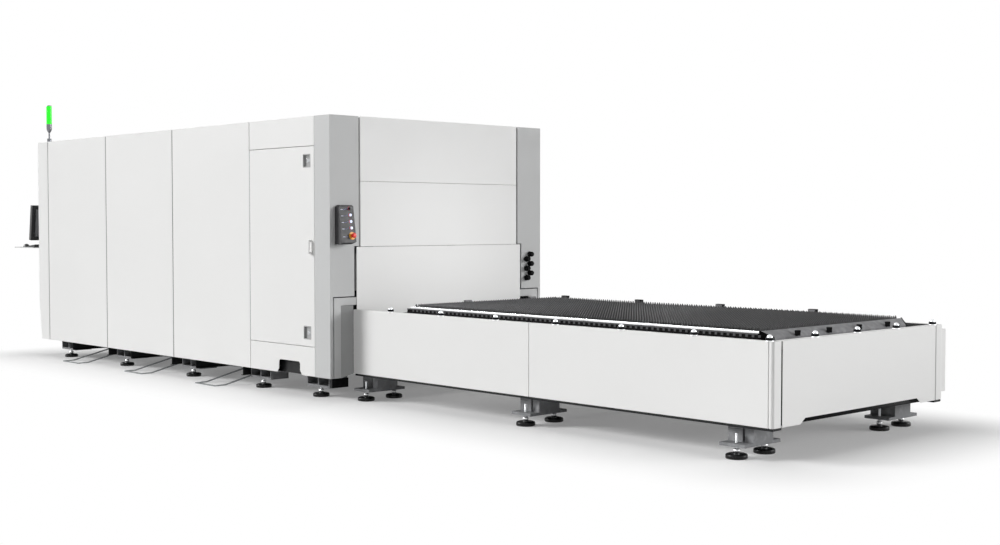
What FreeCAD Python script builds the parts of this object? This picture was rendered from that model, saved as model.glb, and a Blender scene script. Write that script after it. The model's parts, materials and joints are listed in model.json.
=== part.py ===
import FreeCAD, Part
import math
import os
import re
import Sketcher

# A fibre laser sheet cutter: a closed cutting cell with a pallet exchange table at one end.
# Millimetres, +Z up.  Every size below is taken in a machine frame whose X = 0 is the cell's face
# towards the exchange table (+X runs out along the table), Y = 0 the machine's centre plane and
# Z = 0 the floor.  The finished pieces are shifted by the two datum cells, so that the row's own
# origin is the middle of the whole machine's footprint on the floor.

os.makedirs("parts", exist_ok=True)
doc = FreeCAD.newDocument("FibreLaserCutter")
V = FreeCAD.Vector

# ------------------------------------------------------------------------------------------------
# Driving dimensions
# ------------------------------------------------------------------------------------------------
SIZES = {
    # cell
    "cell_height": 2200, "half_width": 1141, "skirt_z": 170, "fold": 40, "skin": 2, "seam": 4,
    "side_seam": 10,
    "column_length": 200, "door_length": 909, "panel_length": 1247,
    "cheek_length": 230, "header_height": 230, "plinth_height": 230,
    "lean_z": 550, "lean_depth": 47, "tube": 60, "base_tube": 100, "roof_depth": 30,
    "hatch_top": 800, "hatch_edge": 27, "hatch_seam": 8, "link_sheet": 3, "link_face": 60,
    # service door
    "door_depth": 38, "hinge_radius": 3, "running_gap": 0.3,
    "cup_width": 97, "cup_height": 105, "cup_depth": 20, "cup_from_edge": 52,
    "upper_cup_drop": 397, "lower_cup_z": 458, "latch_radius": 14, "latch_shaft": 8,
    "pull_z": 1131, "pull_height": 106, "pull_width": 29, "pull_reach": 30, "pull_from_edge": 35,
    # notch in the plinth
    "notch_left": 694, "notch_right": 403, "notch_top": 275, "notch_flare": 28, "notch_bend": 205,
    # exchange end
    "lift_half": 888, "lift_bottom": 650, "lift_top": 1184, "lift_plate": 4, "lift_gap": 1,
    "panel_slot": 15, "slot_edge": 908, "slot_rise": 6, "end_split": 1695, "end_half": 847,
    "arm_thickness": 6, "arm_y": 851, "arm_reach": 100, "arm_bottom": 840, "arm_top": 1130,
    "block_width": 54, "guide_depth": 30, "guide_bottom": 810, "guide_top": 2060,
    # feet
    "pad_radius": 60, "pad_height": 35, "stud_radius": 10, "ball_radius": 16,
    "cell_foot_inset": 126, "cell_foot_1": 295, "cell_foot_2": 1105, "cell_foot_3": 2225,
    "cell_foot_4": 3450, "cell_foot_5": 4625, "cell_bracket_half": 149, "cell_bracket_z": 75,
    "cell_bracket_depth": 175, "cell_bracket_set": 145, "cell_plate": 18, "boss_radius": 16,
    "boss_set": 60, "boss_height": 12,
    "table_foot_y": 919, "table_foot_inner": 645, "table_foot_1": 160, "foot_from_split": 63,
    "foot_from_end": 242, "table_bracket_half": 92, "table_bracket_z": 73, "table_stud_top": 148,
    "plate": 10, "table_plate": 20, "table_plate_reach": 354, "table_plate_over": 46,
    "block_set": 39, "block_depth": 196, "block_slot": 16, "block_slot_from": 14, "slot_depth": 20,
    # table
    "table_start": 45, "table_half": 954, "table_length": 3863, "table_split": 1932,
    "table_bottom": 204, "table_top": 701, "corner_run": 35, "corner_half": 870,
    "end_seam": 8, "corner_groove": 7,
    "lip_height": 16, "beam_half": 861, "end_notch_low": 683, "end_notch_high": 633,
    "end_notch_z": 238, "ball_first": 489, "ball_from_end": 544, "ball_count": 6, "ball_end_pitch": 455,
    "ball_end_shift": -47, "cup_radius": 22, "transfer_ball": 15, "cross_tube": 80,
    "end_sheet": 3,
    # drive cover on the table's far side
    "cover_reach": 156, "cover_flange": 66, "cover_length": 560,
    # pallets
    "blade_first": 560, "blade_pitch": 45, "blade_from_end": 34, "blade_thickness": 4,
    "blade_height": 117, "tooth_depth": 20, "tooth_count": 3, "lower_tooth_count": 1,
    "pallet_half": 797, "pallet_start": 532, "pallet_from_end": 193, "pallet_top": 757,
    "rail_width": 30, "rail_depth": 116, "pallet_rail_z": 610, "level_drop": 250, "track_z": 600,
    "shoe_gap": 10, "track_width": 54, "strip_drop": 17, "strip_height": 14, "strip_from_start": 23,
    "strip_from_end": 15,
    "bar_width": 60, "bar_height": 30, "bar_from_end": 60, "shoe_length": 120, "shoe_height": 28,
    "stop_rise": 8, "stop_overlap": 18, "start_plate_rise": 118, "exchange": 3950,
    # bed, gantry, head
    "bed_end": 250, "bed_length": 3900, "bed_height": 800,
    "rail_height": 30, "gantry_x": 4010, "truck_length": 260, "beam_depth": 160,
    "beam_height": 240, "beam_bottom": 920, "head_radius": 40, "nozzle_radius": 6,
    "nozzle_z": 860, "carriage_half": 130,
    # scrap drawers
    "ledge_width": 30, "track_thickness": 5, "drawer_play": 6, "pan_wall": 3,
    "drawer_half": 375, "drawer_1": 1667, "drawer_2": 2838, "drawer_3": 4037, "drawer_y": 800,
    "drawer_length": 1400, "drawer_z": 95, "drawer_height": 65, "tow_half": 150, "tow_1": 1572,
    "tow_2": 2820, "tow_3": 4067, "toe_out": 159, "toe_length": 116, "tow_width": 12,
    # control box on the near column
    "box_inset": 48, "box_width": 142, "box_bottom": 1206, "box_height": 302, "box_top_depth": 45,
    "box_bottom_depth": 91, "button_inset": 152, "button_radius": 11, "collar": 5,
    "stop_radius": 20, "stop_collar": 30, "gland_radius": 20, "gland_pitch": 41, "gland_inset": 142,
    "gland_z": 1097,
    # operator's end
    "console_inset": 241, "console_x": 120, "swivel_pin_radius": 12, "tilt_set": 110,
    "tilt_pin_radius": 9, "monitor_width": 390, "monitor_height": 370, "monitor_lean": 7.5,
    "monitor_z": 1362, "tray_z": 1105, "tray_reach": 640, "tray_width": 480,
    "front_door_half": 520, "front_door_bottom": 380, "front_door_top": 1950,
    "window_half": 240, "window_bottom": 1150, "window_top": 1750,
    "light_from_end": 133, "light_inset": 66, "lens_radius": 28, "lens_rise": 188, "lens_height": 184,
}

# Sizes that follow from the ones above
FOLLOWING = {
    "cell_length": "column_length + door_length + 3 * panel_length + cheek_length",
    "column_width": "half_width - end_half - panel_slot",
    "upper_cup_z": "cell_height - upper_cup_drop",
    "cell_foot_y": "half_width - cell_foot_inset",
    "table_end_x": "table_start + table_length + corner_run",
    "table_foot_2": "table_start + table_split - foot_from_split",
    "table_foot_3": "table_start + table_length - foot_from_end",
    "ball_pitch": "(table_start + table_length - ball_from_end - ball_first) / (ball_count - 1)",
    "pallet_end": "table_end_x - pallet_from_end",
    "shoe": "beam_half - shoe_gap - pallet_half",
    "strip_start": "pallet_start + strip_from_start",
    "strip_length": "pallet_end - strip_from_end - strip_start",
    "bed_width": "half_width - fold - base_tube - beam_half",
    "toe_y": "half_width + toe_out",
    "box_y": "half_width - box_inset",
    "button_y": "half_width - button_inset",
    "gland_y": "half_width - gland_inset",
    "console_y": "half_width - console_inset",
    "light_x": "cell_length - light_from_end",
    "light_y": "half_width - light_inset",
    "lens_bottom": "cell_height + lens_rise",
    # row datum: the middle of the footprint
    "datum_x": "(cell_length + tray_reach - table_end_x) / 2",
    "datum_y": "(toe_y - half_width) / 2",
}

sheet = doc.addObject("Spreadsheet::Sheet", "Sizes")
CELLS = {**{alias: str(value) for alias, value in SIZES.items()},
         **{alias: "=" + formula for alias, formula in FOLLOWING.items()}}
for row, (alias, text) in enumerate(CELLS.items(), start=1):
    sheet.set("A%d" % row, alias.replace("_", " "))
    sheet.setAlias("B%d" % row, alias)
    sheet.set("B%d" % row, text)
doc.recompute()

WORD = re.compile(r"\b(%s)\b" % "|".join(sorted(CELLS, key=len, reverse=True)))


def cell(text):
    """An expression over the sheet: every alias gets the sheet's name in front."""
    return WORD.sub(r"Sizes.\1", str(text))


class Sizes:
    """The sheet's values, for the pieces whose shape or number is worked out in code."""

    def __getattr__(self, alias):
        return float(sheet.get(alias))


S = Sizes()

# Stations along X, from the exchange face back to the operator's end
X_DOOR = "(0 - column_length - door_length)"
X_CHEEK = "(0 - column_length - door_length - 3 * panel_length)"
X_FRONT = "(0 - cell_length)"

places = {}      # object name -> its place expressions in the machine frame
finished = {}    # node name -> object


# ------------------------------------------------------------------------------------------------
# Building blocks
# ------------------------------------------------------------------------------------------------
def put(obj, at, turn=None):
    """Binds an object's place in the machine frame to the sheet."""
    if turn is not None:
        obj.Placement = FreeCAD.Placement(V(0, 0, 0), turn)
    for axis, text in zip("xyz", at):
        obj.setExpression("Placement.Base." + axis, cell(text))
    places[obj.Name] = at
    return obj


def box(name, size, at):
    obj = doc.addObject("Part::Box", name)
    for prop, text in zip(("Length", "Width", "Height"), size):
        obj.setExpression(prop, cell(text))
    return put(obj, at)


AXES = {
    "+Z": FreeCAD.Rotation(),
    "-Z": FreeCAD.Rotation(V(1, 0, 0), 180),
    "+X": FreeCAD.Rotation(V(0, 1, 0), 90),
    "-X": FreeCAD.Rotation(V(0, 1, 0), -90),
    "+Y": FreeCAD.Rotation(V(1, 0, 0), -90),
    "-Y": FreeCAD.Rotation(V(1, 0, 0), 90),
}


def rod(name, radius, length, at, axis="+Z"):
    obj = doc.addObject("Part::Cylinder", name)
    obj.setExpression("Radius", cell(radius))
    obj.setExpression("Height", cell(length))
    return put(obj, at, AXES[axis])


def hexagon(name, radius, length, at, axis="+Z"):
    obj = doc.addObject("Part::Prism", name)
    obj.Polygon = 6
    obj.setExpression("Circumradius", cell(radius))
    obj.setExpression("Height", cell(length))
    return put(obj, at, AXES[axis])


def less(name, base, *tools):
    """Base with every tool cut out of it."""
    tool = tools[0] if len(tools) == 1 else join(name + "_tools", *tools)
    obj = doc.addObject("Part::Cut", name)
    obj.Base = base
    obj.Tool = tool
    return obj


def join(name, *pieces):
    """Pieces welded or cast into one."""
    obj = doc.addObject("Part::MultiFuse", name)
    obj.Shapes = list(pieces)
    obj.Refine = True
    return obj


def group(name, *pieces):
    """Like pieces that stay separate solids in one node."""
    obj = doc.addObject("Part::Compound", name)
    obj.Links = list(pieces)
    return obj


def mirrored(name, source):
    """The same piece on the other side of the machine's centre plane."""
    obj = doc.addObject("Part::Mirroring", name)
    obj.Source = source
    obj.Base = V(0, 0, 0)
    obj.Normal = V(0, 1, 0)
    return obj


def copies(name, source, offsets):
    """Separate copies of one finished solid, at offsets worked out from the sheet."""
    doc.recompute()
    shapes = []
    for offset in offsets:
        shape = source.Shape.copy()
        shape.translate(V(*offset))
        shapes.append(shape)
    obj = doc.addObject("Part::Feature", name)
    obj.Shape = Part.makeCompound(shapes)
    return obj


PLANES = {"XY": "XY_Plane", "XZ": "XZ_Plane", "YZ": "YZ_Plane"}


def outline(body, plane, points):
    """A closed outline on one of the body's own planes, each corner bound to the sheet."""
    sketch = body.newObject("Sketcher::SketchObject", body.Name + "_outline")
    origin = [f for f in body.Origin.OriginFeatures if f.Role == PLANES[plane]][0]
    sketch.AttachmentSupport = [(origin, "")]
    sketch.MapMode = "FlatFace"
    count = len(points)
    for i in range(count):
        start, end = V(i, i * i % 7, 0), V(i + 1, (i + 1) * (i + 1) % 7, 0)
        sketch.addGeometry(Part.LineSegment(start, end), False)
    for i in range(count):
        sketch.addConstraint(Sketcher.Constraint("Coincident", i, 2, (i + 1) % count, 1))
    for i, (u, v) in enumerate(points):
        for kind, text in (("DistanceX", u), ("DistanceY", v)):
            n = sketch.addConstraint(Sketcher.Constraint(kind, -1, 1, i, 1, 1.0))
            sketch.setExpression("Constraints[%d]" % n, cell(text))
    return sketch


def padded(name, plane, points, depth, at):
    """A profile pad.  XY outlines rise along +Z, YZ ones run along +X and XZ ones along +Y."""
    body = doc.addObject("PartDesign::Body", name)
    pad = body.newObject("PartDesign::Pad", name + "_pad")
    pad.Profile = outline(body, plane, points)
    pad.setExpression("Length", cell(depth))
    pad.Reversed = plane == "XZ"
    body.Tip = pad
    return put(body, at)


def flat_face(corners):
    return Part.Face(Part.makePolygon(corners + corners[:1]))


def faceted(name, sides, rings, at, axis="+Z"):
    """A small round piece that repeats: rings of (radius, height) joined by flat walls."""
    turns = [2 * math.pi * (n + 0.5) / sides for n in range(sides)]
    loops = [[V(radius * math.cos(a), radius * math.sin(a), height) for a in turns]
             for radius, height in rings]
    faces = [flat_face(loops[0]), flat_face(loops[-1])]
    for low, high in zip(loops, loops[1:]):
        for n in range(sides):
            after = (n + 1) % sides
            faces.append(flat_face([low[n], low[after], high[after], high[n]]))
    shell = Part.makeShell(faces)
    shell.sewShape()
    solid = Part.makeSolid(shell)
    if solid.Volume < 0:
        solid.reverse()
    obj = doc.addObject("Part::Feature", name)
    obj.Shape = solid
    return put(obj, at, axis if isinstance(axis, FreeCAD.Rotation) else AXES[axis])


def softened(body, radius, pick):
    """Rounds the body's edges that pick(edge) says yes to."""
    doc.recompute()
    base = body.Tip
    names = ["Edge%d" % (i + 1) for i, edge in enumerate(base.Shape.Edges) if pick(edge)]
    fillet = body.newObject("PartDesign::Fillet", body.Name + "_round")
    fillet.Base = (base, names)
    fillet.setExpression("Radius", cell(radius))
    body.Tip = fillet
    return body


def runs_along(axis):
    """Picks straight edges that run along an axis."""
    direction = {"X": V(1, 0, 0), "Y": V(0, 1, 0), "Z": V(0, 0, 1)}[axis]

    def pick(edge):
        if len(edge.Vertexes) != 2:
            return False
        line = edge.Vertexes[1].Point.sub(edge.Vertexes[0].Point)
        return line.Length > 0 and abs(line.normalize().dot(direction)) > 0.999
    return pick


def cassette(name, size, at, towards):
    """A folded sheet panel: a shallow tray whose open back faces the given way."""
    length, width, height = size
    x, y, z = at
    inner = {
        "+Y": ((f"{length} - 2 * skin", f"{width}", f"{height} - 2 * skin"),
               (f"{x} + skin", f"{y} + skin", f"{z} + skin")),
        "-Y": ((f"{length} - 2 * skin", f"{width}", f"{height} - 2 * skin"),
               (f"{x} + skin", f"{y} - skin", f"{z} + skin")),
        "-X": ((f"{length}", f"{width} - 2 * skin", f"{height} - 2 * skin"),
               (f"{x} - skin", f"{y} + skin", f"{z} + skin")),
        "-Z": ((f"{length} - 2 * skin", f"{width} - 2 * skin", f"{height}"),
               (f"{x} + skin", f"{y} + skin", f"{z} - skin")),
    }[towards]
    return less(name, box(name + "_out", size, at), box(name + "_in", *inner))


def finish(node, obj):
    """Names the piece and shifts it from the machine frame to the row's own frame."""
    x, y = places.get(obj.Name, ("0", "0"))[:2]
    obj.setExpression("Placement.Base.x", cell(f"datum_x + ({x})"))
    obj.setExpression("Placement.Base.y", cell(f"datum_y + ({y})"))
    obj.Label = node
    finished[node] = obj
    return obj


# ------------------------------------------------------------------------------------------------
# Base, feet and frame of the cell
# ------------------------------------------------------------------------------------------------
CELL_FEET = ["cell_foot_1", "cell_foot_2", "cell_foot_3", "cell_foot_4", "cell_foot_5"]
TABLE_FEET = ["table_foot_1", "table_foot_2", "table_foot_3"]
STUD_SIDES = 8
PAD_SIDES = 10
ORIGIN = ("0", "0", "0")


def base_frame():
    """Two long tubes with a cross tube over each pair of feet, and the drawers' hanging tracks."""
    run = f"({X_FRONT} + lean_depth + fold + 3)"
    tubes = []
    for side, y in (("near", "0 - half_width + fold"), ("far", "half_width - fold - base_tube")):
        tubes.append(box("base_long_" + side, (f"0 - fold - 5 - {run}", "base_tube", "base_tube"),
                         (run, y, "skirt_z")))
    for foot in CELL_FEET:
        tubes.append(box("base_cross_" + foot,
                         ("base_tube", "2 * (half_width - fold - base_tube)", "base_tube"),
                         (f"0 - {foot} - base_tube / 2", "0 - half_width + fold + base_tube", "skirt_z")))
    for number in (1, 2, 3):
        for side, ledge, web in (("left", "0 - drawer_half - drawer_play", "0 - drawer_half - drawer_play"),
                                 ("right", "drawer_half + drawer_play - ledge_width",
                                  "drawer_half + drawer_play - track_thickness")):
            middle = f"0 - drawer_{number}"
            span = "2 * (half_width - fold)"
            y = "0 - half_width + fold"
            low = "(drawer_z - track_thickness - running_gap)"
            tubes.append(join(f"track_{number}_{side}",
                              box(f"track_ledge_{number}_{side}", ("ledge_width", span, "track_thickness"),
                                  (f"{middle} + {ledge}", y, low)),
                              box(f"track_web_{number}_{side}", ("track_thickness", span, f"skirt_z - {low}"),
                                  (f"{middle} + {web}", y, low))))
    finish("base_frame", group("base_frame_set", *tubes))


def foot_brackets():
    """Welded boxes that carry the feet: open-fronted under the cell, a plate and a block at the table."""
    brackets = []
    for foot in CELL_FEET:
        back = "0 - cell_foot_y + cell_bracket_set"
        front = f"({back} - cell_bracket_depth)"
        left = f"0 - {foot} - cell_bracket_half"
        plate = box("cell_plate_" + foot, ("2 * cell_bracket_half", "cell_bracket_depth", "cell_plate"),
                    (left, front, "cell_bracket_z"))
        rear = box("cell_rear_" + foot, ("2 * cell_bracket_half", "plate", "skirt_z - cell_bracket_z"),
                   (left, f"{back} - plate", "cell_bracket_z"))
        webs = [box(f"cell_web_{n}_" + foot,
                    ("plate", "cell_bracket_depth - plate", "skirt_z - cell_bracket_z"),
                    (f"{left} + {shift}", front, "cell_bracket_z"))
                for n, shift in enumerate(("0", "cell_bracket_half - plate / 2",
                                           "2 * cell_bracket_half - plate"))]
        boss = hexagon("cell_boss_" + foot, "boss_radius", "boss_height",
                       (f"0 - {foot}", f"{back} - boss_set", "cell_bracket_z - boss_height"))
        near = join("cell_bracket_" + foot, plate, rear, boss, *webs)
        brackets += [near, mirrored("cell_bracket_far_" + foot, near)]
    for foot in TABLE_FEET:
        plate = box("table_plate_" + foot, ("2 * table_bracket_half", "table_plate_reach", "table_plate"),
                    (f"{foot} - table_bracket_half", "0 - table_foot_y - table_plate_over",
                     "table_bracket_z"))
        block = box("table_block_" + foot,
                    ("2 * table_bracket_half", "block_depth", "table_bottom - lip_height - table_bracket_z"),
                    (f"{foot} - table_bracket_half", "0 - table_foot_y + block_set", "table_bracket_z"))
        slot = box("table_slot_" + foot, ("block_slot", "slot_depth", "table_bottom - table_bracket_z"),
                   (f"{foot} + block_slot_from", "0 - table_foot_y + block_set",
                    "table_bracket_z + table_plate"))
        bore = S.stud_radius + 0.15
        holes = [faceted(f"table_hole_{n}_" + foot, STUD_SIDES, [(bore, 0), (bore, S.table_plate + 2)],
                         (foot, f"0 - {y}", "table_bracket_z - 1"))
                 for n, y in enumerate(("table_foot_y", "table_foot_inner"))]
        near = less("table_bracket_" + foot, join("table_weld_" + foot, plate, block), slot, *holes)
        brackets += [near, mirrored("table_bracket_far_" + foot, near)]
    finish("foot_brackets", group("foot_bracket_set", *brackets))


def feet():
    """Rubber pads, and the ball studs that screw into the brackets."""
    pad = faceted("pad", PAD_SIDES, [(S.pad_radius, 0), (S.pad_radius, S.pad_height * 0.55),
                                     (S.pad_radius * 0.45, S.pad_height)], ORIGIN)

    def stud(name, top):
        low, ball = S.pad_height, S.ball_radius
        return faceted(name, STUD_SIDES, [(ball * 0.8, low), (ball, low + 9), (S.stud_radius, low + 20),
                                          (S.stud_radius, top)], ORIGIN)

    low_stud = stud("low_stud", S.cell_bracket_z)
    high_stud = stud("high_stud", S.table_stud_top)
    cell_spots = [(-getattr(S, foot), side * S.cell_foot_y, 0) for foot in CELL_FEET for side in (-1, 1)]
    table_spots = [(getattr(S, foot), side * y, 0) for foot in TABLE_FEET
                   for y in (S.table_foot_y, S.table_foot_inner) for side in (-1, 1)]
    finish("foot_pads", copies("foot_pad_set", pad, cell_spots + table_spots))
    low = copies("low_stud_set", low_stud, cell_spots)
    high = copies("high_stud_set", high_stud, table_spots)
    finish("foot_studs", group("foot_stud_set", low, high))


def wall_frame():
    """Square tubes that carry the panels, the roof and the exchange end."""
    pieces = []
    stations = ["0 - column_length", f"{X_DOOR} - tube / 2"]
    stations += [f"{X_DOOR} - {n} * panel_length - tube / 2" for n in (1, 2, 3)]
    stations.append(f"{X_FRONT} + 100")
    post_top = "cell_height - roof_depth - tube"
    base_top = "skirt_z + base_tube"
    for n, x in enumerate(stations):
        for side, y in (("near", "0 - half_width + fold"), ("far", "half_width - fold - tube")):
            pieces.append(box(f"post_{n}_{side}", ("tube", "tube", f"{post_top} - ({base_top})"),
                              (x, y, base_top)))
        pieces.append(box(f"roof_bearer_{n}", ("tube", "2 * (half_width - fold - tube)", "tube"),
                          (x, "0 - half_width + fold + tube", post_top)))
    for side, y in (("near", "0 - half_width + fold"), ("far", "half_width - fold - tube")):
        pieces.append(box("top_rail_" + side, (f"0 - fold - {X_FRONT} - fold", "tube", "tube"),
                          (f"{X_FRONT} + fold", y, post_top)))
    pieces.append(box("end_bearer", ("tube", "2 * (half_width - fold - tube)", "tube"),
                      ("0 - fold - tube", "0 - half_width + fold + tube", post_top)))
    for side, y in (("near", "0 - end_half + 7"), ("far", "end_half - 7 - tube")):
        pieces.append(box("end_stile_" + side, ("tube", "tube", f"{post_top} - lift_top"),
                          ("0 - fold - tube", y, "lift_top")))
    pieces.append(box("end_lintel", ("tube", "2 * (end_half - 7 - tube)", "tube"),
                      ("0 - fold - tube", "0 - end_half + 7 + tube", "lift_top")))
    finish("wall_frame", group("wall_frame_set", *pieces))


# ------------------------------------------------------------------------------------------------
# Skin of the cell
# ------------------------------------------------------------------------------------------------
PANEL_HEIGHT = "cell_height - skirt_z"


def side_panels():
    near = [cassette(f"near_panel_{n}", (f"panel_length - side_seam / 2 - {right}", "fold", PANEL_HEIGHT),
                     (f"{X_DOOR} - {n} * panel_length + side_seam / 2", "0 - half_width", "skirt_z"),
                     "+Y")
            for n, right in ((1, "hinge_radius - seam / 2"), (2, "side_seam / 2"), (3, "side_seam / 2"))]
    finish("near_panels", group("near_panel_set", *near))
    far = [cassette(f"far_panel_{n}", ("panel_length - seam", "fold", PANEL_HEIGHT),
                    (f"{X_DOOR} - {n} * panel_length + seam / 2", "half_width - fold", "skirt_z"), "-Y")
           for n in (1, 2, 3)]
    far.append(cassette("far_panel_0", ("door_length - seam", "fold", PANEL_HEIGHT),
                        (f"{X_DOOR} + seam / 2", "half_width - fold", "skirt_z"), "-Y"))
    finish("far_panels", group("far_panel_set", *far))
    cheek = padded("near_cheek", "XZ",
                   [("0", "cell_height"), ("0", "lean_z"), ("lean_depth", "skirt_z"),
                    ("cheek_length - side_seam / 2", "skirt_z"),
                    ("cheek_length - side_seam / 2", "cell_height")],
                   "fold", (X_FRONT, "0 - half_width", "0"))
    finish("cheek_panels", group("cheek_set", cheek, mirrored("far_cheek", cheek)))


def door_bay():
    """The fixed strips above and below the service door; the lower one has a notch for ducts."""
    finish("door_header", cassette("header", ("door_length - seam", "fold", "header_height - 1"),
                                   (f"{X_DOOR} + seam / 2", "0 - half_width",
                                    "cell_height - header_height + 1"), "+Y"))
    plinth = cassette("plinth", ("door_length - seam", "fold", "plinth_height - 1"),
                      (f"{X_DOOR} + seam / 2", "0 - half_width", "skirt_z"), "+Y")
    notch = padded("notch", "XZ",
                   [("0 - notch_left - notch_flare", "skirt_z - 1"), ("0 - notch_left", "notch_bend"),
                    ("0 - notch_left", "notch_top"), ("0 - notch_right", "notch_top"),
                    ("0 - notch_right", "notch_bend"), ("0 - notch_right + notch_flare", "skirt_z - 1")],
                   "fold + 2", ("0", "0 - half_width - 1", "0"))
    top_corners = runs_along("Y")
    softened(notch, "22", lambda edge: top_corners(edge) and edge.Vertexes[0].Z > S.skirt_z)
    finish("door_plinth", less("plinth_notched", plinth, notch))


def corner_columns():
    """Folded corner columns of the exchange end, cut away for the link covers and beside the lift door."""
    wall = padded("near_column", "XY",
                  [("0", "0"), ("column_length", "0"), ("column_length", "column_width"),
                   ("column_length - fold", "column_width"), ("column_length - fold", "fold"),
                   ("0", "fold")],
                  PANEL_HEIGHT, ("0 - column_length", "0 - half_width", "skirt_z"))
    opening = box("column_cut", ("fold + 2", "column_width", "hatch_top - skirt_z + 1"),
                  ("0 - fold - 1", "0 - half_width + hatch_edge", "skirt_z - 1"))
    step = box("column_step", ("fold + 2", "slot_edge", "lift_top + slot_rise - skirt_z"),
               ("0 - fold - 1", "0 - slot_edge", "skirt_z"))
    near = less("near_column_cut", wall, opening, step)
    finish("corner_columns", group("column_set", near, mirrored("far_column_cut", near)))


def end_panels():
    trays = [cassette(name, ("fold", "2 * end_half", f"{high} - {low} - seam / 2"),
                      ("0 - fold", "0 - end_half", f"{low} + seam / 2"), "-X")
             for name, low, high in (("end_middle", "lift_top", "end_split"),
                                     ("end_upper", "end_split", "cell_height"))]
    finish("end_panels", group("end_panel_set", *trays))


def lift_door():
    """The door over the pallet slot, hung on two arms that pass through the slots beside the panels."""
    height = "lift_top - lift_bottom"
    pieces = [box("lift_skin", ("lift_plate", "2 * lift_half", height),
                  ("lift_gap", "0 - lift_half", "lift_bottom"))]
    for side, y, block_y in (("near", "0 - arm_y - arm_thickness", "0 - arm_y - block_width"),
                             ("far", "arm_y", "arm_y + arm_thickness")):
        pieces.append(box("lift_arm_" + side,
                          ("arm_reach + lift_gap", "arm_thickness", "arm_top - arm_bottom"),
                          ("0 - arm_reach", y, "arm_bottom")))
        pieces.append(box("lift_block_" + side,
                          ("arm_reach - fold - guide_depth - running_gap", "block_width - arm_thickness",
                           "arm_top - arm_bottom"),
                          ("0 - arm_reach", block_y, "arm_bottom")))
    finish("lift_door", join("lift_door_weld", *pieces))
    guides = [box("guide_" + side, ("guide_depth", "guide_depth", "guide_top - guide_bottom"),
                  ("0 - fold - guide_depth", y, "guide_bottom"))
              for side, y in (("near", "0 - arm_y - block_width"),
                              ("far", "arm_y + block_width - guide_depth"))]
    finish("lift_door_guides", group("guide_set", *guides))


def roof():
    sheets = []
    count = 4
    run = f"(0 - fold - {X_FRONT} - fold)"
    for n in range(count):
        sheets.append(cassette(f"roof_{n}",
                               (f"{run} / {count} - seam", "2 * (half_width - fold) - 1", "roof_depth"),
                               (f"{X_FRONT} + fold + {n} * {run} / {count} + seam / 2",
                                "0 - half_width + fold + 0.5", "cell_height - roof_depth"), "-Z"))
    finish("roof_panels", group("roof_set", *sheets))


def link_covers():
    """Bent covers that close the step between the columns and the table's sides."""
    edge = "0 - half_width + hatch_edge + hatch_seam"
    run = "half_width - hatch_edge - hatch_seam - table_half"
    face_z = "(hatch_top - hatch_seam - link_face)"
    front = padded("near_link", "XY",
                   [("0", "0"), ("0", "66"), ("table_start", run), ("table_start - link_sheet", run),
                    ("0 - link_sheet", "67"), ("0 - link_sheet", "0")],
                   f"{face_z} - skirt_z", ("0", edge, "skirt_z"))
    flange = box("near_link_flange",
                 ("fold + 1 - running_gap - link_sheet", "link_sheet", "hatch_top - hatch_seam - skirt_z"),
                 ("0 - fold - 1 + running_gap", edge, "skirt_z"))
    face = box("near_link_face",
               ("link_sheet", "column_width - hatch_edge - hatch_seam - link_sheet", "link_face"),
               ("0 - link_sheet", edge, face_z))
    near = join("near_link_weld", front, flange, face)
    finish("link_covers", group("link_set", near, mirrored("far_link", near)))


# ------------------------------------------------------------------------------------------------
# Service door in the near side
# ------------------------------------------------------------------------------------------------
CUP_LEFT = "(0 - column_length - cup_from_edge - cup_width)"
DOOR_AXIS = X_DOOR
LATCH_SIDES = 8
LATCH_X = f"({CUP_LEFT} + cup_width * 0.66)"


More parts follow.
